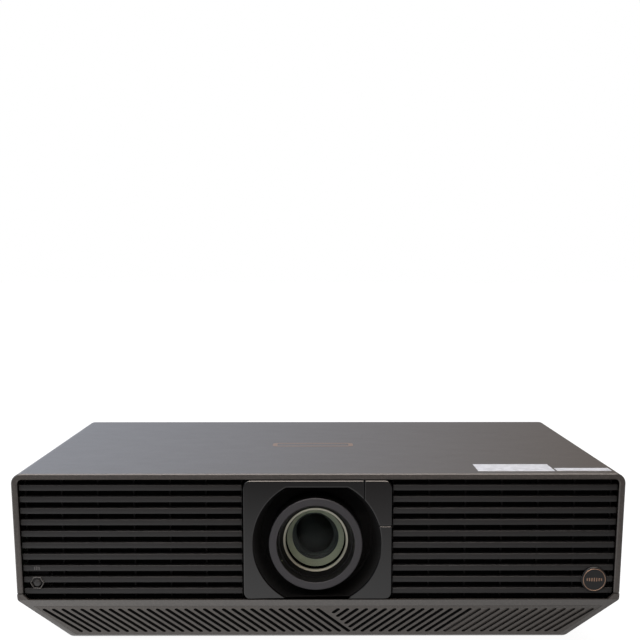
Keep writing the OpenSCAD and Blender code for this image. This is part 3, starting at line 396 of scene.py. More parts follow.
# High-gloss ABS: black, with a blurred image of the floor growing towards its foot
BEZEL_ABS = Finish("polished_black_abs", "#0a0a0a", "#0d0c0c", roughness=0.13, gloss_swing=0.02,
                   patch_mm=80.0, grain_mm=3.0, grain_depth_mm=0.001, coat=0.4)
# Infrared-pass plastic: as glossy as the bezel, with a hint of red
WINDOW_ABS = Finish("infrared_pass_plastic", "#0c0a0a", "#0f0d0d", roughness=0.13, gloss_swing=0.02,
                    patch_mm=60.0, grain_mm=4.0, grain_depth_mm=0.001, coat=0.4)
# Flocked black paint: swallows the light round the barrel. The ring behind the well in it is painted shade
WELL_BLACK = Finish("matt_black_light_trap", "#020202", "#040404", roughness=0.9, gloss_swing=0.05,
                    grain_mm=0.7, grain_depth_mm=0.03)
# Turned and black anodised: fine rings that catch a thin sheen
BARREL_METAL = TurnedMetal("black_anodised_barrel", "#0b0b0c", "#101011", roughness=0.5,
                           gloss_swing=0.04, metallic=0.4, grain_depth_mm=0.006)
# Grey anodised: the pale ring that frames the lens
RING_METAL = TurnedMetal("grey_anodised_front_ring", "#3b3a3d", "#3f3e41", roughness=0.5,
                         gloss_swing=0.03, metallic=0.3, grain_depth_mm=0.004)
# Black anodised: the stepped baffle, nearly lost in the dark
CELL_METAL = TurnedMetal("black_anodised_cell", "#08080a", "#0c0c0e", roughness=0.5, gloss_swing=0.05,
                         metallic=0.2, grain_depth_mm=0.008)
# Bead-blasted bare metal: a pale thin ring about the glass
RETAINER_METAL = TurnedMetal("bead_blasted_retaining_ring", "#a3a293", "#abaa9b", roughness=0.42,
                             gloss_swing=0.04, metallic=0.6, grain_depth_mm=0.004)
# Olive anodised seat: a green-grey ring seen through the glass
STOP_METAL = TurnedMetal("olive_anodised_stop", "#c6c2b0", "#cecab8", roughness=0.5, gloss_swing=0.04,
                         metallic=0.4, grain_depth_mm=0.004)
# Coated glass: its low index stands for the coating, so that it hardly mirrors the room
LENS_GLASS = CoatedGlass("coated_optical_glass", "#f2fbf6", "#eef8f4", roughness=0.02,
                         gloss_swing=0.0, grain_mm=30.0, grain_depth_mm=0.0, coat=0.0,
                         coat_roughness=0.02, ior=1.16)
# The inner element: opaque black, painted shade for the dark seen through the lens, with a faint green
# gloss of its coating
INNER_GLASS = CoatedGlass("coated_inner_element", "#030504", "#050806", roughness=0.05,
                          gloss_swing=0.01, grain_mm=30.0, grain_depth_mm=0.0, coat=0.08,
                          coat_roughness=0.03, tint="#63c796", transmission=0.0, ior=1.12)
# Open-cell foam: a flat black with a coarse grain. The black sheets made of it behind the slats and slots
# are painted shade that darkens the gaps
FOAM_AND_PAINTED_SHADE = Finish("black_foam_and_painted_shade", "#040404", "#070707", roughness=0.9, gloss_swing=0.05,
                     patch_mm=9.0, grain_mm=1.4, grain_depth_mm=0.25)
# Pad-printed ink: small flat grey marks
PRINT_INK = Finish("pad_printed_grey_ink", "#5c5a59", "#646261", roughness=0.5, gloss_swing=0.04,
                   patch_mm=2.0, grain_mm=0.4, grain_depth_mm=0.004)
# Lacquered disc: near black with a soft gloss
BADGE_LACQUER = Finish("black_lacquer_badge", "#0a0a0b", "#0d0d0e", roughness=0.38, gloss_swing=0.03,
                       grain_mm=2.0, grain_depth_mm=0.002, coat=0.05)
# Plated trim: a warm thin line, brushed so that it never glares
COPPER_TRIM = BrushedMetal("satin_copper_trim", "#997c69", "#a58874", roughness=0.35, gloss_swing=0.05,
                           metallic=0.75, grain_mm=0.8, grain_depth_mm=0.004, patch_mm=12.0)
# Glossy label: white with broken grey lines
LABEL_PAPER = PrintedPaper("glossy_paper_label", "#e9ecf0", "#e2e6ec", roughness=0.3, gloss_swing=0.05,
                           grain_mm=2.0, grain_depth_mm=0.004)
# Nickel-plated sheet: bright socket shells
SOCKET_STEEL = BrushedMetal("nickel_plated_steel", "#b3b2ad", "#a7a6a1", roughness=0.28,
                            gloss_swing=0.06, metallic=0.95, grain_mm=0.6, grain_depth_mm=0.006)
# Moulded nylon: dark socket bodies
SOCKET_NYLON = Finish("moulded_nylon_socket", "#1d1d1e", "#232324", roughness=0.5, gloss_swing=0.05,
                      grain_mm=0.6, grain_depth_mm=0.012)
# Solder resist: deep green with lighter tracks
BOARD_EPOXY = CircuitBoard("solder_resist_on_epoxy", "#123a22", "#174429", roughness=0.35,
                           gloss_swing=0.08, grain_mm=1.5, grain_depth_mm=0.05, patch_mm=20.0)
# Die-cast magnesium: a dull, slightly uneven grey
CAST_ALLOY = Finish("die_cast_magnesium", "#8d8e90", "#7d7e81", roughness=0.52, gloss_swing=0.08,
                    metallic=0.8, grain_mm=0.9, grain_depth_mm=0.03, patch_mm=18.0)
# Extruded aluminium: pale fins with drawn lines
FIN_ALLOY = BrushedMetal("extruded_aluminium_fins", "#a9abad", "#9d9fa2", roughness=0.34,
                         gloss_swing=0.07, metallic=0.9, grain_mm=0.9, grain_depth_mm=0.012)
# Thinly plated copper: a warm block behind the lasers
LASER_COPPER = BrushedMetal("nickelled_copper_block", "#a9724f", "#b67f5b", roughness=0.32,
                            gloss_swing=0.06, metallic=0.95, grain_mm=0.8, grain_depth_mm=0.008)
# Zinc-plated can: a cool bright grey
MOTOR_STEEL = BrushedMetal("zinc_plated_motor_can", "#9b9da1", "#8e9095", roughness=0.3,
                           gloss_swing=0.08, metallic=0.95, grain_mm=0.7, grain_depth_mm=0.008)
# Phosphor on an aluminium disc: matt yellow with turning marks
PHOSPHOR = TurnedMetal("phosphor_coated_aluminium", "#c7b43a", "#d2c04a", roughness=0.62,
                       gloss_swing=0.05, metallic=0.3, centre_x_mm=80.0, grain_depth_mm=0.02)
# Black zinc: dark screws with a metal sheen
SCREW_STEEL = BrushedMetal("black_zinc_screw", "#4c4d50", "#57585b", roughness=0.32, gloss_swing=0.06,
                           metallic=0.9, grain_mm=0.5, grain_depth_mm=0.01)
# Moulded acetal: waxy black teeth
GEAR_ACETAL = Finish("black_acetal_gear", "#17181a", "#1d1e20", roughness=0.42, gloss_swing=0.05,
                     grain_mm=0.9, grain_depth_mm=0.01)
# Hobbed brass: yellow pinions and inserts
GEAR_BRASS = BrushedMetal("hobbed_brass", "#b08d46", "#bc9a52", roughness=0.3, gloss_swing=0.06,
                          metallic=0.95, grain_mm=0.5, grain_depth_mm=0.008)
# Glass-filled PBT: dull black blades
FAN_PBT = Finish("black_glass_filled_pbt", "#1a1b1d", "#202124", roughness=0.46, gloss_swing=0.06,
                 grain_mm=0.8, grain_depth_mm=0.012, patch_mm=25.0)
# Plain ABS: a matt black box
SPEAKER_BOX = Finish("speaker_box_abs", "#161616", "#1b1b1b", roughness=0.55, gloss_swing=0.06,
                     grain_mm=0.8, grain_depth_mm=0.02)
# Pressed pulp: rings spread over a dark matt cone
SPEAKER_CONE = TurnedMetal("pulp_speaker_cone", "#26262a", "#2d2d31", roughness=0.75,
                           gloss_swing=0.05, centre_x_mm=170.0, centre_z_mm=84.0, spacing_mm=4.0,
                           grain_depth_mm=0.08)
# Nylon: the dark works of the joystick
SWITCH_NYLON = Finish("switch_nylon", "#2a2a2b", "#303031", roughness=0.5, grain_mm=0.6)
# Satin ABS: a dark cap that stands out a little from the slats
BUTTON_ABS = Finish("satin_abs_button", "#2a2928", "#302f2e", roughness=0.42, gloss_swing=0.04,
                    patch_mm=8.0, grain_mm=0.6, grain_depth_mm=0.006)
# Satin ABS: the lighter six-sided rim round the cap
SURROUND_ABS = Finish("satin_abs_surround", "#575553", "#5e5c5a", roughness=0.4, gloss_swing=0.04,
                      patch_mm=8.0, grain_mm=0.6, grain_depth_mm=0.006)
# Moulded rubber: matt, with a fine bloom
FOOT_RUBBER = Finish("moulded_rubber_foot", "#191919", "#202020", roughness=0.85, gloss_swing=0.06,
                     grain_mm=0.7, grain_depth_mm=0.05, patch_mm=9.0)
# Dichroic prism: clear, with a violet gloss
PRISM_GLASS = CoatedGlass("dichroic_prism_glass", "#e6f0ff", "#f4e8ff", roughness=0.04,
                          gloss_swing=0.0, grain_mm=30.0, grain_depth_mm=0.0, patch_mm=15.0,
                          coat=0.5, coat_roughness=0.03, tint="#b9a6e8", transmission=0.85)


# ---------------------------------------------------------------------------
# Modelling by hand tools


def deselect() -> None:
    """Leaves edit mode and clears the selection, so that a tool acts on one piece only."""
    if bpy.context.object and bpy.context.object.mode != "OBJECT":
        bpy.ops.object.mode_set(mode="OBJECT")
    bpy.ops.object.select_all(action="DESELECT")


def hold(piece: bpy.types.Object) -> None:
    """Selects one piece alone and makes it active.

    Args:
        piece: The piece.
    """
    deselect()
    piece.select_set(True)
    bpy.context.view_layer.objects.active = piece


def pick(piece: bpy.types.Object, kind: str, test: Callable) -> None:
    """In edit mode, selects the faces, edges or vertices that pass a test, and nothing else.

    Args:
        piece: The piece in edit mode.
        kind: "FACE", "EDGE" or "VERT".
        test: Takes one element of that kind and says whether it is picked.
    """
    bpy.ops.mesh.select_mode(type=kind)
    bpy.ops.mesh.select_all(action="DESELECT")
    mesh = bmesh.from_edit_mesh(piece.data)
    elements = {"FACE": mesh.faces, "EDGE": mesh.edges, "VERT": mesh.verts}[kind]
    for element in elements:
        element.select = bool(test(element))
    mesh.select_flush_mode()
    bmesh.update_edit_mesh(piece.data)


def add_block(low: Sequence[float], high: Sequence[float]) -> bpy.types.Object:
    """Adds a cube primitive at its size and place.

    Args:
        low: The lowest corner in millimetres.
        high: The highest corner in millimetres.

    Returns:
        The block, with its place in its mesh.
    """
    deselect()
    middle = [(a + b) / 2 * MM for a, b in zip(low, high)]
    size = [(b - a) * MM for a, b in zip(low, high)]
    bpy.ops.mesh.primitive_cube_add(size=1, location=middle, scale=size)
    bpy.ops.object.transform_apply(location=True, rotation=True, scale=True)
    return bpy.context.object


def soften(piece: bpy.types.Object, width_mm: float, segments: int = 2, angle_deg: float = 40) -> None:
    """Rounds a piece's sharp edges with an applied bevel.

    Args:
        piece: The piece.
        width_mm: The width of the rounding.
        segments: How many facets it has.
        angle_deg: Edges flatter than this stay as they are.
    """
    hold(piece)
    bevel = piece.modifiers.new("edge_break", "BEVEL")
    bevel.width = width_mm * MM
    bevel.segments = segments
    bevel.limit_method = "ANGLE"
    bevel.angle_limit = math.radians(angle_deg)
    bevel.use_clamp_overlap = True
    bpy.ops.object.modifier_apply(modifier=bevel.name)


def join(pieces: List[bpy.types.Object]) -> bpy.types.Object:
    """Joins pieces into the first one.

    Args:
        pieces: The pieces.

    Returns:
        The first piece, which now holds them all.
    """
    hold(pieces[0])
    for piece in pieces:
        piece.select_set(True)
    bpy.ops.object.join()
    return bpy.context.object


def repeated(piece: bpy.types.Object, steps: Sequence[float]) -> bpy.types.Object:
    """Copies a piece across the body, each copy with its own mesh, and joins the copies to it.

    Args:
        piece: The piece.
        steps: How far each copy stands from the piece along X, in millimetres.

    Returns:
        The piece with its copies.
    """
    row = [piece]
    for step in steps:
        hold(piece)
        bpy.ops.object.duplicate(linked=False)
        bpy.ops.transform.translate(value=(step * MM, 0, 0))
        bpy.ops.object.transform_apply(location=True, rotation=True, scale=True)
        row.append(bpy.context.object)
    return join(row)


def turn(profile: Sequence[Point], axis: Axis, centre: Tuple[float, float],
         steps: int = 96) -> bpy.types.Object:
    """Turns a closed outline about an axis.

    Args:
        profile: Points (radius, height along the axis) in millimetres; ends on the axis stay open.
        axis: The line to turn about.
        centre: Where the axis stands, (x, z) for the lens line and (x, y) for an upright one.
        steps: How many facets go round.

    Returns:
        The turned piece with merged seams and outward faces.
    """
    deselect()

    def spot(point: Point) -> Vector:
        """Places a point of the outline.

        Args:
            point: Its radius and height along the axis, in millimetres.

        Returns:
            Where it stands, in metres.
        """
        radius, height = point
        if axis is Axis.LENS:
            return Vector((centre[0] + radius, height, centre[1])) * MM
        return Vector((centre[0] + radius, centre[1], height)) * MM

    bpy.ops.mesh.primitive_plane_add(size=MM)
    piece = bpy.context.object
    bpy.ops.object.mode_set(mode="EDIT")
    bpy.ops.mesh.select_mode(type="VERT")
    bpy.ops.mesh.select_all(action="SELECT")
    bpy.ops.mesh.merge(type="CENTER")
    bpy.ops.transform.translate(value=spot(profile[0]))
    path = list(profile[1:])
    if profile[0][0] > 0 or profile[-1][0] > 0:
        path.append(profile[0])
    here = spot(profile[0])
    for point in path:
        step = spot(point) - here
        bpy.ops.mesh.extrude_vertices_move(TRANSFORM_OT_translate={"value": step})
        here = spot(point)
    bpy.ops.mesh.select_all(action="SELECT")
    bpy.ops.mesh.remove_doubles(threshold=1e-7)
    bpy.ops.mesh.select_all(action="SELECT")
    line = (0, 1, 0) if axis is Axis.LENS else (0, 0, 1)
    bpy.ops.mesh.spin(steps=steps, angle=math.tau, center=spot((0, profile[0][1])), axis=line)
    bpy.ops.mesh.select_all(action="SELECT")
    bpy.ops.mesh.remove_doubles(threshold=1e-6)
    bpy.ops.mesh.select_all(action="SELECT")
    bpy.ops.mesh.normals_make_consistent(inside=False)
    bpy.ops.object.mode_set(mode="OBJECT")
    return piece


def merged_copy(node: str) -> bpy.types.Object:
    """Copies a frame part, merges its loose triangles and dissolves them to whole faces.

    Args:
        node: The part's name.

    Returns:
        The copy.
    """
    deselect()
    piece = bpy.data.objects.new(node + "_shape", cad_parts[node].data.copy())
    bpy.context.scene.collection.objects.link(piece)
    hold(piece)
    bpy.ops.object.mode_set(mode="EDIT")
    bpy.ops.mesh.select_all(action="SELECT")
    bpy.ops.mesh.remove_doubles(threshold=2e-6)
    bpy.ops.mesh.dissolve_limited(angle_limit=math.radians(0.5))
    bpy.ops.object.mode_set(mode="OBJECT")
    return piece


def complete(piece: bpy.types.Object, name: str, finish: Finish, body: str, slot: str,
             *nodes: str, smooth_deg: float = 32) -> bpy.types.Object:
    """Names, dresses and mounts a finished piece.

    Args:
        piece: The piece, with its place in its mesh.
        name: Its name.
        finish: Its finish.
        body: The body that it rides on.
        slot: The record's material slot; not used.
        nodes: The frame parts that it stands for, if any.
        smooth_deg: Faces that meet at less than this are shaded as one.

    Returns:
        The piece.
    """
    hold(piece)
    bpy.ops.object.transform_apply(location=True, rotation=True, scale=True)
    piece.name = name
    piece.data.name = name
    piece.data.materials.clear()
    piece.data.materials.append(finish.material())
    bpy.ops.object.shade_smooth_by_angle(angle=math.radians(smooth_deg))
    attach(piece, body)
    if nodes:
        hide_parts(*nodes)
    LOG.info("%s: %d faces, %s", name, len(piece.data.polygons), finish.name)
    return piece


def dress(finish: Finish, *nodes: str) -> None:
    """Gives frame parts a finish and leaves their shape alone.

    Args:
        finish: The finish.
        nodes: The parts' names.
    """
    for node in nodes:
        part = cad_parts[node]
        part.data.materials.clear()
        part.data.materials.append(finish.material())
        LOG.info("%s: kept, %s", node, finish.name)


def low_mm(node: str) -> Vector:
    """Returns a frame part's lowest corner in millimetres."""
    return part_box(node)[0] / MM


def high_mm(node: str) -> Vector:
    """Returns a frame part's highest corner in millimetres."""
    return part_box(node)[1] / MM


# ---------------------------------------------------------------------------
# Sub-assemblies


@dataclass
class Enclosure:
    """The painted shells: top cover, tray, slotted chamfers and rear panel."""

    wall: float = 2.5
    rim: float = 4.0
    corner: float = 7.0
    corner_steps: int = 10
    edge_break: float = 0.8
    fold_x: float = 203.0
    fold_z: float = 46.0
    opening_top: float = 128.0
    screen_reach: float = 189.0
    screen_y: float = -123.0
    screen_thick: float = 0.8
    screen_low: float = 15.0
    screen_high: float = 42.0
    screen_lean: float = 24.5
    screen_taper: float = 0.885

    def build(self) -> None:
        """Builds the cover and dresses the other shells."""
        self.cover()
        self.slot_screen()
        for node, finish in (("base_tray", SATIN_PAINT), ("front_grille", GRILLE_PAINT),
                             ("side_grilles", SATIN_PAINT)):
            shell = complete(merged_copy(node), node + "_shell", finish, "chassis", "painted_body", node)
            if node != "base_tray":
                self.paint_shade_in_slots(shell)
        complete(merged_copy("rear_panel"), "rear_panel_moulding", LOUVRE_ABS, "chassis",
                 "louvre_plastic", "rear_panel")

    def cover(self) -> None:
        """Builds the top cover: a tapered box, rounded, opened at the front and given its wall."""
        low, high = low_mm("top_cover"), high_mm("top_cover")
        shell = add_block(low, high)
        taper = self.half_width_at(low.z) / high.x
        bpy.ops.object.mode_set(mode="EDIT")
        pick(shell, "VERT", lambda v: v.co.z < (low.z + NEAR) * MM)
        bpy.ops.transform.resize(value=(taper, 1, 1), center_override=(0, 0, low.z * MM))
        pick(shell, "EDGE", lambda e: all(v.co.z > (high.z - NEAR) * MM for v in e.verts)
             and abs(e.verts[0].co.y - e.verts[1].co.y) > NEAR * MM)
        bpy.ops.mesh.bevel(offset=self.corner * MM, segments=self.corner_steps)
        pick(shell, "FACE", lambda f: f.normal.z < -SQUARELY or f.normal.y > SQUARELY)
        bpy.ops.mesh.delete(type="FACE")
        pick(shell, "FACE", lambda f: f.normal.y < -SQUARELY)
        bpy.ops.mesh.inset(thickness=self.rim * MM, use_boundary=False)
        bpy.ops.mesh.delete(type="FACE")
        bpy.ops.object.mode_set(mode="OBJECT")
        skin = shell.modifiers.new("wall", "SOLIDIFY")
        skin.thickness = self.wall * MM
        skin.offset = -1
        skin.use_even_offset = True
        hold(shell)
        bpy.ops.object.modifier_apply(modifier=skin.name)
        soften(shell, self.edge_break, 1)
        complete(shell, "top_cover_shell", SATIN_PAINT, "chassis", "painted_body", "top_cover")

    def paint_shade_in_slots(self, shell: bpy.types.Object) -> None:
        """Paints shade into a grille's slots: their walls get the near-black second material, which stands
        in for the dark inside them.

        The panels' own faces look well down, and either forwards or sideways but not both.

        Args:
            shell: The grille.
        """
        well_down, both_ways = -0.5, 0.05
        # The near-black on the slot walls is painted shade, not the grille's colour
        shell.data.materials.append(RIB_ABS_AND_SLOT_SHADE.material())
        hold(shell)
        bpy.ops.object.mode_set(mode="EDIT")
        pick(shell, "FACE", lambda f: f.normal.z > well_down
             or abs(f.normal.x * f.normal.y) > both_ways)
        shell.active_material_index = 1
        bpy.ops.object.material_slot_assign()
        bpy.ops.object.mode_set(mode="OBJECT")

    def slot_screen(self) -> None:
        """Builds the black screen behind the front chamfer's slots, which leans and narrows with it. It is
        painted shade that darkens the slots.
        """
        # The black screen is painted shade behind the chamfer's slots
        screen = add_block((-self.screen_reach, self.screen_y, self.screen_low),
                           (self.screen_reach, self.screen_y + self.screen_thick, self.screen_high))
        bpy.ops.object.mode_set(mode="EDIT")
        pick(screen, "VERT", lambda v: v.co.z > (self.screen_high - NEAR) * MM)
        bpy.ops.transform.translate(value=(0, -self.screen_lean * MM, 0))
        pick(screen, "VERT", lambda v: v.co.z < (self.screen_low + NEAR) * MM)
        bpy.ops.transform.resize(value=(self.screen_taper, 1, 1),
                                 center_override=(0, 0, self.screen_low * MM))
        bpy.ops.object.mode_set(mode="OBJECT")
        soften(screen, FINE_EDGE, 1)
        complete(screen, "slot_screen", FOAM_AND_PAINTED_SHADE, "chassis", "well_black")

    def half_width_at(self, z: float) -> float:
        """Returns the body's half width at height z, between the fold and the top."""
        high = high_mm("top_cover")
        return self.fold_x + (high.x - self.fold_x) * (z - self.fold_z) / (high.z - self.fold_z)


@dataclass
class LouvreBank:
    """One bank of level slats with its upright ribs behind."""

    side: Side
    enclosure: Enclosure
    count: int = 10
    slat: float = 4.15
    depth: float = 6.5
    edge: float = 0.7
    front: float = -152.5
    end_gap: float = 0.3
    rib: float = 1.2
    ribs: int = 7
    rib_reach: float = 197.5
    rib_low: float = 46.5
    rib_bite: float = 0.2
    filter_front: float = -142.4
    filter_thick: float = 1.0
    filter_reach: float = 196.5
    filter_low: float = 43.0
    filter_high: float = 129.0
    filter_from_left: float = 51.4
    filter_from_right: float = 50.2
    switch_gap: float = 1.2

    def build(self) -> None:
        """Builds the slats with their ribs, and the black foam filter behind them, which is painted shade
        for the gaps.
        """
        self.slats()
        self.dust_filter_and_shade()

    def dust_filter_and_shade(self) -> None:
        """Builds the thin black filter behind the ribs, cut out round the joystick's switch. It is painted
        shade that darkens the gaps between the slats.
        """
        # The black sheet stands in for the shade between the slats
        back = self.filter_front + self.filter_thick
        if self.side is Side.RIGHT:
            sheet = add_block((self.filter_from_right, self.filter_front, self.filter_low),
                              (self.filter_reach, back, self.filter_high))
        else:
            switch_x = high_mm("joystick_base").x + self.switch_gap
            above = high_mm("joystick_base").z + self.switch_gap
            below = low_mm("joystick_base").z - self.switch_gap
            sheet = add_block((switch_x, self.filter_front, self.filter_low),
                              (-self.filter_from_left, back, self.filter_high))
            hold(sheet)
            bpy.ops.object.mode_set(mode="EDIT")
            for height in (above, below):
                bpy.ops.mesh.select_all(action="SELECT")
                bpy.ops.mesh.bisect(plane_co=(0, 0, height * MM), plane_no=(0, 0, 1))
            pick(sheet, "FACE", lambda f: f.normal.x < -SQUARELY
                 and not below * MM < f.calc_center_median().z < above * MM)
            reach = (-self.filter_reach - switch_x) * MM
            bpy.ops.mesh.extrude_region_move(TRANSFORM_OT_translate={"value": (reach, 0, 0)})
            bpy.ops.object.mode_set(mode="OBJECT")
        soften(sheet, FINE_EDGE, 1)
        complete(sheet, "dust_filter_and_shade_" + self.side.name.lower(), FOAM_AND_PAINTED_SHADE, "chassis", "well_black")

    def slats(self) -> None:
        """Builds the slats in place of the frame's, and the upright ribs behind them."""
        node = "louvre_left" if self.side is Side.LEFT else "louvre_right"
        low, high = low_mm(node), high_mm(node)
        inner = abs(high.x) if self.side is Side.LEFT else low.x
        opening = self.enclosure.opening_top - self.enclosure.fold_z
        gap = (opening - self.count * self.slat) / (self.count + 1)
        slats = []
        for k in range(self.count):
            top = self.enclosure.opening_top - (k + 1) * gap - k * self.slat
            bottom = top - self.slat
            outer = self.enclosure.half_width_at(bottom) - self.enclosure.rim - self.end_gap
            ends = sorted((self.side.value * inner, self.side.value * outer))
            block = add_block((ends[0], self.front, bottom), (ends[1], self.front + self.depth, top))
            soften(block, self.edge, 3)
            slats.append(block)
        complete(join(slats), node + "_slats", LOUVRE_ABS, "chassis", "louvre_plastic", node)
        x = self.side.value * (inner + self.rib / 2)
        pitch = self.side.value * (self.rib_reach - inner - self.rib) / (self.ribs - 1)
        rib = add_block((x - self.rib / 2, self.front + self.depth - self.rib_bite, self.rib_low),
                        (x + self.rib / 2, high.y, high.z))
        soften(rib, FINE_EDGE, 1)
        ribs = repeated(rib, [k * pitch for k in range(1, self.ribs)])
        complete(ribs, node + "_ribs", RIB_ABS_AND_SLOT_SHADE, "chassis", "louvre_plastic")


@dataclass
class LensFront:
    """The bezel with its window corner, the well behind it and the lens inside."""

    edge: float = 0.65
    barrel_radius: float = 31.3
    ring_inner: float = 26.3
    ring_proud: float = 0.3
    ring_cap: float = 1.2
    ring_skirt: float = 1.8
    curtain_y: float = -123.7
    curtain_thick: float = 1.2
    curtain_width: float = 11.4
    curtain_above: float = 41.4
    curtain_below: float = 40.5
    mouth: float = 24.4
    baffle_inner: float = 22.3
    baffle_steps: int = 4
    seat_y: float = -138.6
    seat_radius: float = 21.7
    stop_radius: float = 12.0
    stop_y: float = -121.1

    def build(self) -> None:
        """Builds and dresses the lens's surround and the lens."""
        for node, name, finish in (("lens_bezel", "lens_bezel_plate", BEZEL_ABS),
                                   ("sensor_window", "sensor_window_plate", WINDOW_ABS)):
            plate = merged_copy(node)
            soften(plate, self.edge, 2)
            complete(plate, name, finish, "chassis", "gloss_bezel", node, smooth_deg=10)
        complete(merged_copy("lens_well"), "lens_well_cone", WELL_BLACK, "chassis", "well_black",
                 "lens_well")
        barrel = merged_copy("lens_barrel")
        complete(barrel, "lens_barrel_tube", BARREL_METAL, "lens", "barrel_metal", "lens_barrel")
        self.front_ring()
        self.painted_shade_ring()
        self.cell()
        glass = merged_copy("front_glass")
        complete(glass, "front_glass_element", LENS_GLASS, "front_group", "optical_glass",
                 "front_glass")
        dress(CELL_METAL, "zoom_group")

    def front_ring(self) -> None:
        """Builds the grey ring that caps the barrel's front."""
        front = low_mm("lens_barrel").y - self.ring_proud
        back, skirt = front + self.ring_cap, front + self.ring_skirt
        outer, inner = self.barrel_radius + 0.06, self.ring_inner
        ring = turn([(inner, back), (inner, front + 0.3), (inner + 0.3, front), (outer - 0.5, front),
                     (outer, front + 0.5), (outer, skirt), (outer - 1.0, skirt), (outer - 1.0, back)],
                    Axis.LENS, self.axis())
        complete(ring, "barrel_front_ring", RING_METAL, "lens", "barrel_metal")

    def painted_shade_ring(self) -> None:
        """Builds the black ring behind the well that hides the gears, flattened above and below. It is
        painted shade for the dark gap round the barrel.
        """
        # The black ring stands in for the shade round the barrel
        front, back = self.curtain_y, self.curtain_y + self.curtain_thick
        inner = self.barrel_radius - 0.1
        outer = inner + self.curtain_width
        x, z = self.axis()
        curtain = turn([(inner, front), (outer, front), (outer, back), (inner, back)], Axis.LENS, (x, z))
        hold(curtain)
        bpy.ops.object.mode_set(mode="EDIT")
        for height, way in ((z + self.curtain_above, 1), (z - self.curtain_below, -1)):
            bpy.ops.mesh.select_all(action="SELECT")
            bpy.ops.mesh.bisect(plane_co=(0, 0, height * MM), plane_no=(0, 0, way), use_fill=True,
                                clear_outer=True)
        bpy.ops.object.mode_set(mode="OBJECT")
        complete(curtain, "painted_shade_ring", WELL_BLACK, "lens", "well_black")

    def cell(self) -> None:
        """Builds the front cell with its stepped baffle, retaining ring, olive seat and inner element."""
        low, high = low_mm("front_cell"), high_mm("front_cell")
        outer = (high.x - low.x) / 2
        seat_y, glass_back = self.seat_y, high_mm("front_glass").y
        outline = [(outer, low.y), (outer, high.y), (self.stop_radius, high.y),
                   (self.stop_radius, self.stop_y), (12.8, -121.6), (12.8, -123.0), (14.2, -123.4),
                   (14.2, -125.4), (15.8, -125.8), (15.8, -127.2), (19.4, glass_back),
                   (self.seat_radius, glass_back), (self.seat_radius, seat_y + 0.6)]
        widen = (self.mouth - self.baffle_inner) / self.baffle_steps
        depth = (seat_y - low.y) / self.baffle_steps
        for k in range(self.baffle_steps):
            near = self.baffle_inner + k * widen
            outline += [(near, seat_y - k * depth), (near + widen - 0.1, seat_y - (k + 1) * depth + 0.5)]
        outline.append((self.mouth, low.y))
        complete(turn(outline, Axis.LENS, self.axis()), "front_cell_mount", CELL_METAL, "front_group",
                 "cell_metal", "front_cell")
        retainer = turn([(20.5, seat_y + 1.0), (20.5, seat_y + 0.3), (20.8, seat_y - 0.1),
                         (22.0, seat_y - 0.5), (22.2, seat_y - 0.3), (22.2, seat_y + 1.0)],
                        Axis.LENS, self.axis())
        complete(retainer, "retaining_ring", RETAINER_METAL, "front_group", "cell_metal")
        olive = turn([(19.3, glass_back + 0.1), (15.7, -127.3), (15.4, -127.0), (15.4, -126.6),
                      (16.4, -126.6), (19.8, glass_back + 0.4)], Axis.LENS, self.axis())
        complete(olive, "olive_seat_ring", STOP_METAL, "front_group", "cell_metal")
        # The element's opaque black body is painted shade
        element = turn([(0, -121.6), (4.0, -122.3), (8.0, -121.3), (11.0, -120.0), (12.1, -119.4),
                        (12.1, -118.4), (0, -118.4)], Axis.LENS, self.axis())
        complete(element, "inner_element", INNER_GLASS, "front_group", "optical_glass")

    def axis(self) -> Tuple[float, float]:
        """Returns where the lens's axis stands, (x, z)."""
        low, high = low_mm("front_glass"), high_mm("front_glass")
        return ((low.x + high.x) / 2, (low.z + high.z) / 2)


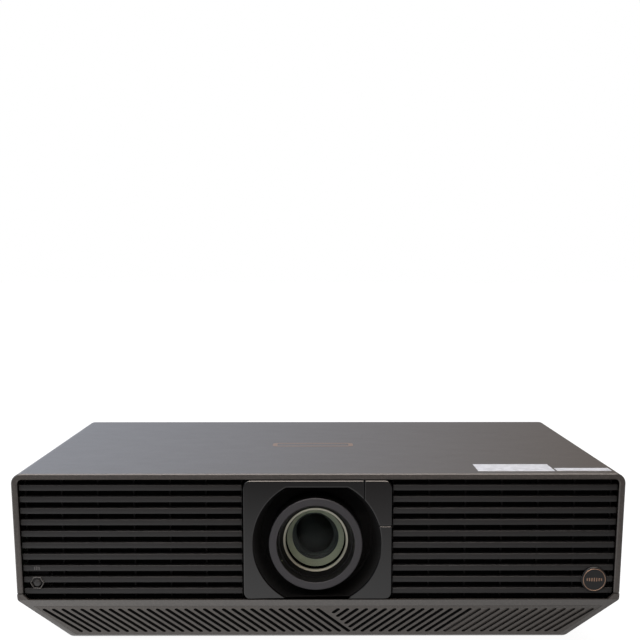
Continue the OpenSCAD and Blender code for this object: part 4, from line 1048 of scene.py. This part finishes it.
@dataclass
class FrontTrim:
    """The joystick button at the left, the badge at the right, and the labels on the top."""

    slat_front: float = -152.5
    surround_inner: float = 3.95
    surround_crest: float = 4.25
    surround_outer: float = 4.65
    surround_proud: float = 1.0
    surround_depth: float = 7.0
    surround_ease: float = 0.3
    mark_height: float = 9.8
    band_outer: float = 1.0
    band_width: float = 0.5

    def build(self) -> None:
        """Builds the button and the badge, and dresses the labels."""
        self.button()
        self.badge()
        dress(LABEL_PAPER, "top_stickers")
        dress(COPPER_TRIM, "top_emblem")

    def button(self) -> None:
        """Builds the joystick's six-sided surround, the mark over it and the round cap."""
        low, high = low_mm("joystick_cap"), high_mm("joystick_cap")
        x, z = (low.x + high.x) / 2, (low.z + high.z) / 2
        front = self.slat_front - self.surround_proud
        face, back = front + self.surround_ease, front + self.surround_depth
        ring = turn([(self.surround_inner, face), (self.surround_crest, front),
                     (self.surround_outer, face), (self.surround_outer, back),
                     (self.surround_inner, back)], Axis.LENS, (x, z), 6)
        complete(ring, "joystick_surround", SURROUND_ABS, "chassis", "louvre_plastic")
        self.bars("button_mark", x, z + self.mark_height, self.slat_front, 3, 1.5, 0.7, PRINT_INK,
                  "louvre_plastic")
        radius = (high.x - low.x) / 2
        cap = turn([(0, low.y), (radius - 1.1, low.y + 0.05), (radius - 0.4, low.y + 0.4),
                    (radius, low.y + 1.0), (radius, high.y), (0, high.y)], Axis.LENS, (x, z), 48)
        complete(cap, "joystick_button", BUTTON_ABS, "joystick_cap", "louvre_plastic", "joystick_cap")

    def badge(self) -> None:
        """Builds the badge's disc, its thin copper ring and a plain row of bars."""
        low, high = low_mm("badge"), high_mm("badge")
        x, z = (low.x + high.x) / 2, (low.z + high.z) / 2
        radius = (high.x - low.x) / 2
        face = low.y + 0.3
        disc = turn([(0, face), (radius - 0.5, face), (radius, face + 0.5), (radius, high.y),
                     (0, high.y)], Axis.LENS, (x, z), 72)
        complete(disc, "badge_disc", BADGE_LACQUER, "chassis", "badge_disc", "badge")
        outer = radius - self.band_outer
        inner = outer - self.band_width
        band = turn([(inner, face + 0.2), (inner, face - 0.15), (inner + 0.2, low.y),
                     (outer, face - 0.15), (outer, face + 0.2)], Axis.LENS, (x, z), 72)
        complete(band, "badge_ring", COPPER_TRIM, "chassis", "copper_trim")
        self.bars("badge_bars", x, z, face, 7, 1.6, 0.8, COPPER_TRIM, "copper_trim")

    def bars(self, name: str, x: float, z: float, face: float, count: int, pitch: float, width: float,
             finish: Finish, slot: str) -> None:
        """Builds a plain row of small raised bars, the middle ones taller.

        Args:
            name: The piece's name.
            x: The row's middle across.
            z: The row's middle height.
            face: The surface that it stands on.
            count: How many bars it has.
            pitch: From one bar to the next.
            width: A bar's width.
            finish: Its finish.
            slot: The record's material slot.
        """
        pieces = []
        for k in range(count):
            middle = x + (k - (count - 1) / 2) * pitch
            tall = 0.7 + 0.5 * math.sin(math.pi * (k + 0.5) / count)
            bar = add_block((middle - width / 2, face - 0.15, z - tall),
                            (middle + width / 2, face + 0.2, z + tall))
            soften(bar, 0.08, 1)
            pieces.append(bar)
        complete(join(pieces), name, finish, "chassis", slot)


@dataclass
class Feet:
    """Two screw feet at the front and two fixed pads at the rear."""

    radius: float = 13.0
    groove: float = 0.8

    def build(self) -> None:
        """Builds the rubber pads and dresses the stems."""
        for side in ("left", "right"):
            node = "foot_pad_" + side
            low, high = low_mm(node), high_mm(node)
            pad = self.pad((low.x + high.x) / 2, (low.y + high.y) / 2, low.z, high.z)
            complete(pad, node + "_rubber", FOOT_RUBBER, node, "foot_rubber", node)
        low, high = low_mm("rear_feet"), high_mm("rear_feet")
        y = (low.y + high.y) / 2
        pad = self.pad(low.x + self.radius, y, low.z, high.z)
        pads = repeated(pad, [high.x - low.x - 2 * self.radius])
        complete(pads, "rear_pads_rubber", FOOT_RUBBER, "chassis", "foot_rubber", "rear_feet")
        dress(SCREW_STEEL, "foot_stem_left", "foot_stem_right", "case_screws")

    def pad(self, x: float, y: float, bottom: float, top: float) -> bpy.types.Object:
        """Turns one grooved rubber pad about its upright axis.

        Args:
            x: The axis's place across.
            y: The axis's place along.
            bottom: The pad's lowest height.
            top: Its highest height.

        Returns:
            The pad.
        """
        r, g = self.radius, self.groove
        step = (top - bottom) / 4
        outline = [(0, bottom), (r - 2, bottom), (r - 0.6, bottom + 0.5), (r, bottom + 1.4)]
        for k in (1, 2):
            z = bottom + k * step
            outline += [(r, z), (r - g, z + 0.4), (r - g, z + 1.0), (r, z + 1.4)]
        outline += [(r, top - 1.0), (r - 1.0, top), (0, top)]
        return turn(outline, Axis.UPRIGHT, (x, y), 48)


@dataclass
class Works:
    """What is seen through the slots and the rear: boards, light engine, fans and sockets."""

    def build(self) -> None:
        """Dresses every inner part in its own material."""
        dress(SOCKET_STEEL, "hdmi_sockets", "usb_network_socket")
        dress(SOCKET_NYLON, "audio_sockets", "mains_inlet")
        dress(BOARD_EPOXY, "main_board", "power_board", "imager_board")
        dress(CAST_ALLOY, "optical_bench", "light_tunnel", "shift_frame", "vertical_plate")
        dress(LASER_COPPER, "laser_bank")
        dress(FIN_ALLOY, "laser_heatsink", "imager_heatsink")
        dress(MOTOR_STEEL, "wheel_motor", "vertical_motor", "horizontal_motor", "lens_motors")
        dress(PHOSPHOR, "phosphor_wheel")
        dress(PRISM_GLASS, "prism_block")
        dress(SCREW_STEEL, "vertical_screw", "horizontal_screw", "joystick_stem")
        dress(GEAR_ACETAL, "focus_ring", "zoom_ring")
        dress(GEAR_BRASS, "focus_pinion", "zoom_pinion", "ceiling_inserts")
        dress(FAN_PBT, "fan_frames", "fan_rotor_left", "fan_rotor_right", "fan_rotor_laser")
        dress(SPEAKER_BOX, "speaker_boxes")
        dress(SPEAKER_CONE, "speaker_drivers")
        dress(SWITCH_NYLON, "joystick_base", "joystick_rocker")


# ---------------------------------------------------------------------------
# Studio


@dataclass
class Studio:
    """A pale floor, a soft surround and a camera level with a seated viewer."""

    camera_x: float = -4.3
    camera_y: float = -1030.8
    camera_z: float = 264.5
    pitch_deg: float = 8.87
    yaw_deg: float = 0.34
    lens_mm: float = 74.96
    shift: float = 0.25

    def build(self) -> None:
        """Sets up camera, floor, surround and lights."""
        self.camera()
        self.floor()
        self.surround()
        self.lamp("softbox_front", (-0.9, -1.9, 1.5), (1.6, 1.6), 4.0, "#ffffff")
        self.lamp("strip_front", (-0.1, -1.37, 1.01), (1.8, 0.09), 5.2, "#fff0e4")
        self.lamp("softbox_top", (-0.5, 0.3, 1.8), (1.4, 1.4), 3.0, "#f2f5ff")
        self.lamp("small_lamp", (0.2, -1.65, 0.25), (0.09, 0.05), 0.3, "#ffd9d0")
        self.lamp("strip_above", (-0.05, -0.34, 1.3), (1.5, 0.3), 8.6, "#fff6f0")
        bpy.context.scene.view_settings.view_transform = "Standard"

    def camera(self) -> None:
        """Places the camera, with the upright shift that its framing needs."""
        data = bpy.data.cameras.new("camera")
        data.lens = self.lens_mm
        data.sensor_width = 36.0
        data.shift_y = self.shift
        data.clip_start = 0.05
        data.clip_end = 50.0
        camera = bpy.data.objects.new("camera", data)
        camera.location = (self.camera_x * MM, self.camera_y * MM, self.camera_z * MM)
        camera.rotation_euler = (math.radians(90 - self.pitch_deg), 0, -math.radians(self.yaw_deg))
        bpy.context.scene.collection.objects.link(camera)
        bpy.context.scene.camera = camera

    def floor(self) -> None:
        """Lays the pale floor, which throws soft light up, most of all from just before the body."""
        deselect()
        bpy.ops.mesh.primitive_plane_add(size=60, location=(0, 0, 0))
        floor = bpy.context.object
        floor.name = "studio_floor"
        material = bpy.data.materials.new("white_studio_floor")
        material.use_nodes = True
        tree = material.node_tree
        shader = next(n for n in tree.nodes if n.type == "BSDF_PRINCIPLED")
        shader.inputs["Base Color"].default_value = linear("#747474")
        shader.inputs["Roughness"].default_value = 0.9
        shader.inputs["Specular IOR Level"].default_value = 0.1
        shader.inputs["Emission Color"].default_value = linear("#ffffff")
        place = add_node(tree, "ShaderNodeTexCoord", {}).outputs["Object"]
        split = add_node(tree, "ShaderNodeSeparateXYZ", {"Vector": place})
        near = add_node(tree, "ShaderNodeMapRange",
                        {"Value": split.outputs["Y"], "From Min": -1.0, "From Max": -0.3,
                         "To Min": 0.0, "To Max": 1.0})
        left = add_node(tree, "ShaderNodeMapRange",
                        {"Value": split.outputs["X"], "From Min": -0.3, "From Max": 0.3,
                         "To Min": 1.0, "To Max": 0.42})
        glow = add_node(tree, "ShaderNodeMath", {0: near.outputs[0], 1: left.outputs[0]},
                        operation="MULTIPLY")
        rays = add_node(tree, "ShaderNodeLightPath", {})
        strength = add_node(tree, "ShaderNodeMix",
                            {0: rays.outputs["Is Camera Ray"], 2: glow.outputs[0], 3: 0.95},
                            data_type="FLOAT")
        tree.links.new(strength.outputs[0], shader.inputs["Emission Strength"])
        floor.data.materials.append(material)

    def surround(self) -> None:
        """Fills the surround: white to the eye, bright and cool behind on the left, dim and warm right."""
        world = bpy.data.worlds.new("surround")
        world.use_nodes = True
        bpy.context.scene.world = world
        tree = world.node_tree
        tree.nodes.clear()
        where = add_node(tree, "ShaderNodeTexCoord", {}).outputs["Generated"]
        split = add_node(tree, "ShaderNodeSeparateXYZ", {"Vector": where})
        share = add_node(tree, "ShaderNodeMapRange",
                         {"Value": split.outputs["X"], "From Min": -0.25, "From Max": 0.25})
        tone = add_node(tree, "ShaderNodeMix",
                        {0: share.outputs[0], 6: linear("#dfe6f4"), 7: linear("#8b8178")},
                        data_type="RGBA")
        depth = add_node(tree, "ShaderNodeMapRange",
                         {"Value": split.outputs["Y"], "From Min": -0.2, "From Max": 0.3,
                          "To Min": 0.3, "To Max": 1.0})
        lift = add_node(tree, "ShaderNodeMapRange",
                        {"Value": split.outputs["Z"], "From Min": 0.2, "From Max": 0.6,
                         "To Min": 0.72, "To Max": 1.7})
        glow = add_node(tree, "ShaderNodeMath", {0: depth.outputs[0], 1: lift.outputs[0]},
                        operation="MULTIPLY")
        room = add_node(tree, "ShaderNodeBackground", {"Color": tone.outputs[2],
                                                       "Strength": glow.outputs[0]})
        white = add_node(tree, "ShaderNodeBackground", {"Color": (1, 1, 1, 1), "Strength": 1.0})
        rays = add_node(tree, "ShaderNodeLightPath", {})
        both = add_node(tree, "ShaderNodeMixShader",
                        {0: rays.outputs["Is Camera Ray"], 1: room.outputs[0], 2: white.outputs[0]})
        add_node(tree, "ShaderNodeOutputWorld", {"Surface": both.outputs[0]})

    def lamp(self, name: str, place: Tuple[float, float, float], size: Tuple[float, float],
             power: float, colour: str) -> None:
        """Adds a soft lamp that faces the object.

        Args:
            name: Its name.
            place: Where it hangs, in metres.
            size: Its width and depth, in metres.
            power: Its power in watts.
            colour: Its colour.
        """
        data = bpy.data.lights.new(name, "AREA")
        data.shape = "RECTANGLE"
        data.size, data.size_y = size
        data.energy = power
        data.color = linear(colour)[:3]
        lamp = bpy.data.objects.new(name, data)
        lamp.location = place
        aim = Vector((0, 0, 0.08)) - Vector(place)
        lamp.rotation_euler = aim.to_track_quat("-Z", "Y").to_euler()
        bpy.context.scene.collection.objects.link(lamp)


def main() -> None:
    logging.basicConfig(level=logging.INFO, format="%(name)s %(message)s")
    enclosure = Enclosure()
    enclosure.build()
    for side in Side:
        LouvreBank(side, enclosure).build()
    LensFront().build()
    FrontTrim().build()
    Feet().build()
    Works().build()
    Studio().build()
    deselect()


if __name__ == "__main__":
    main()
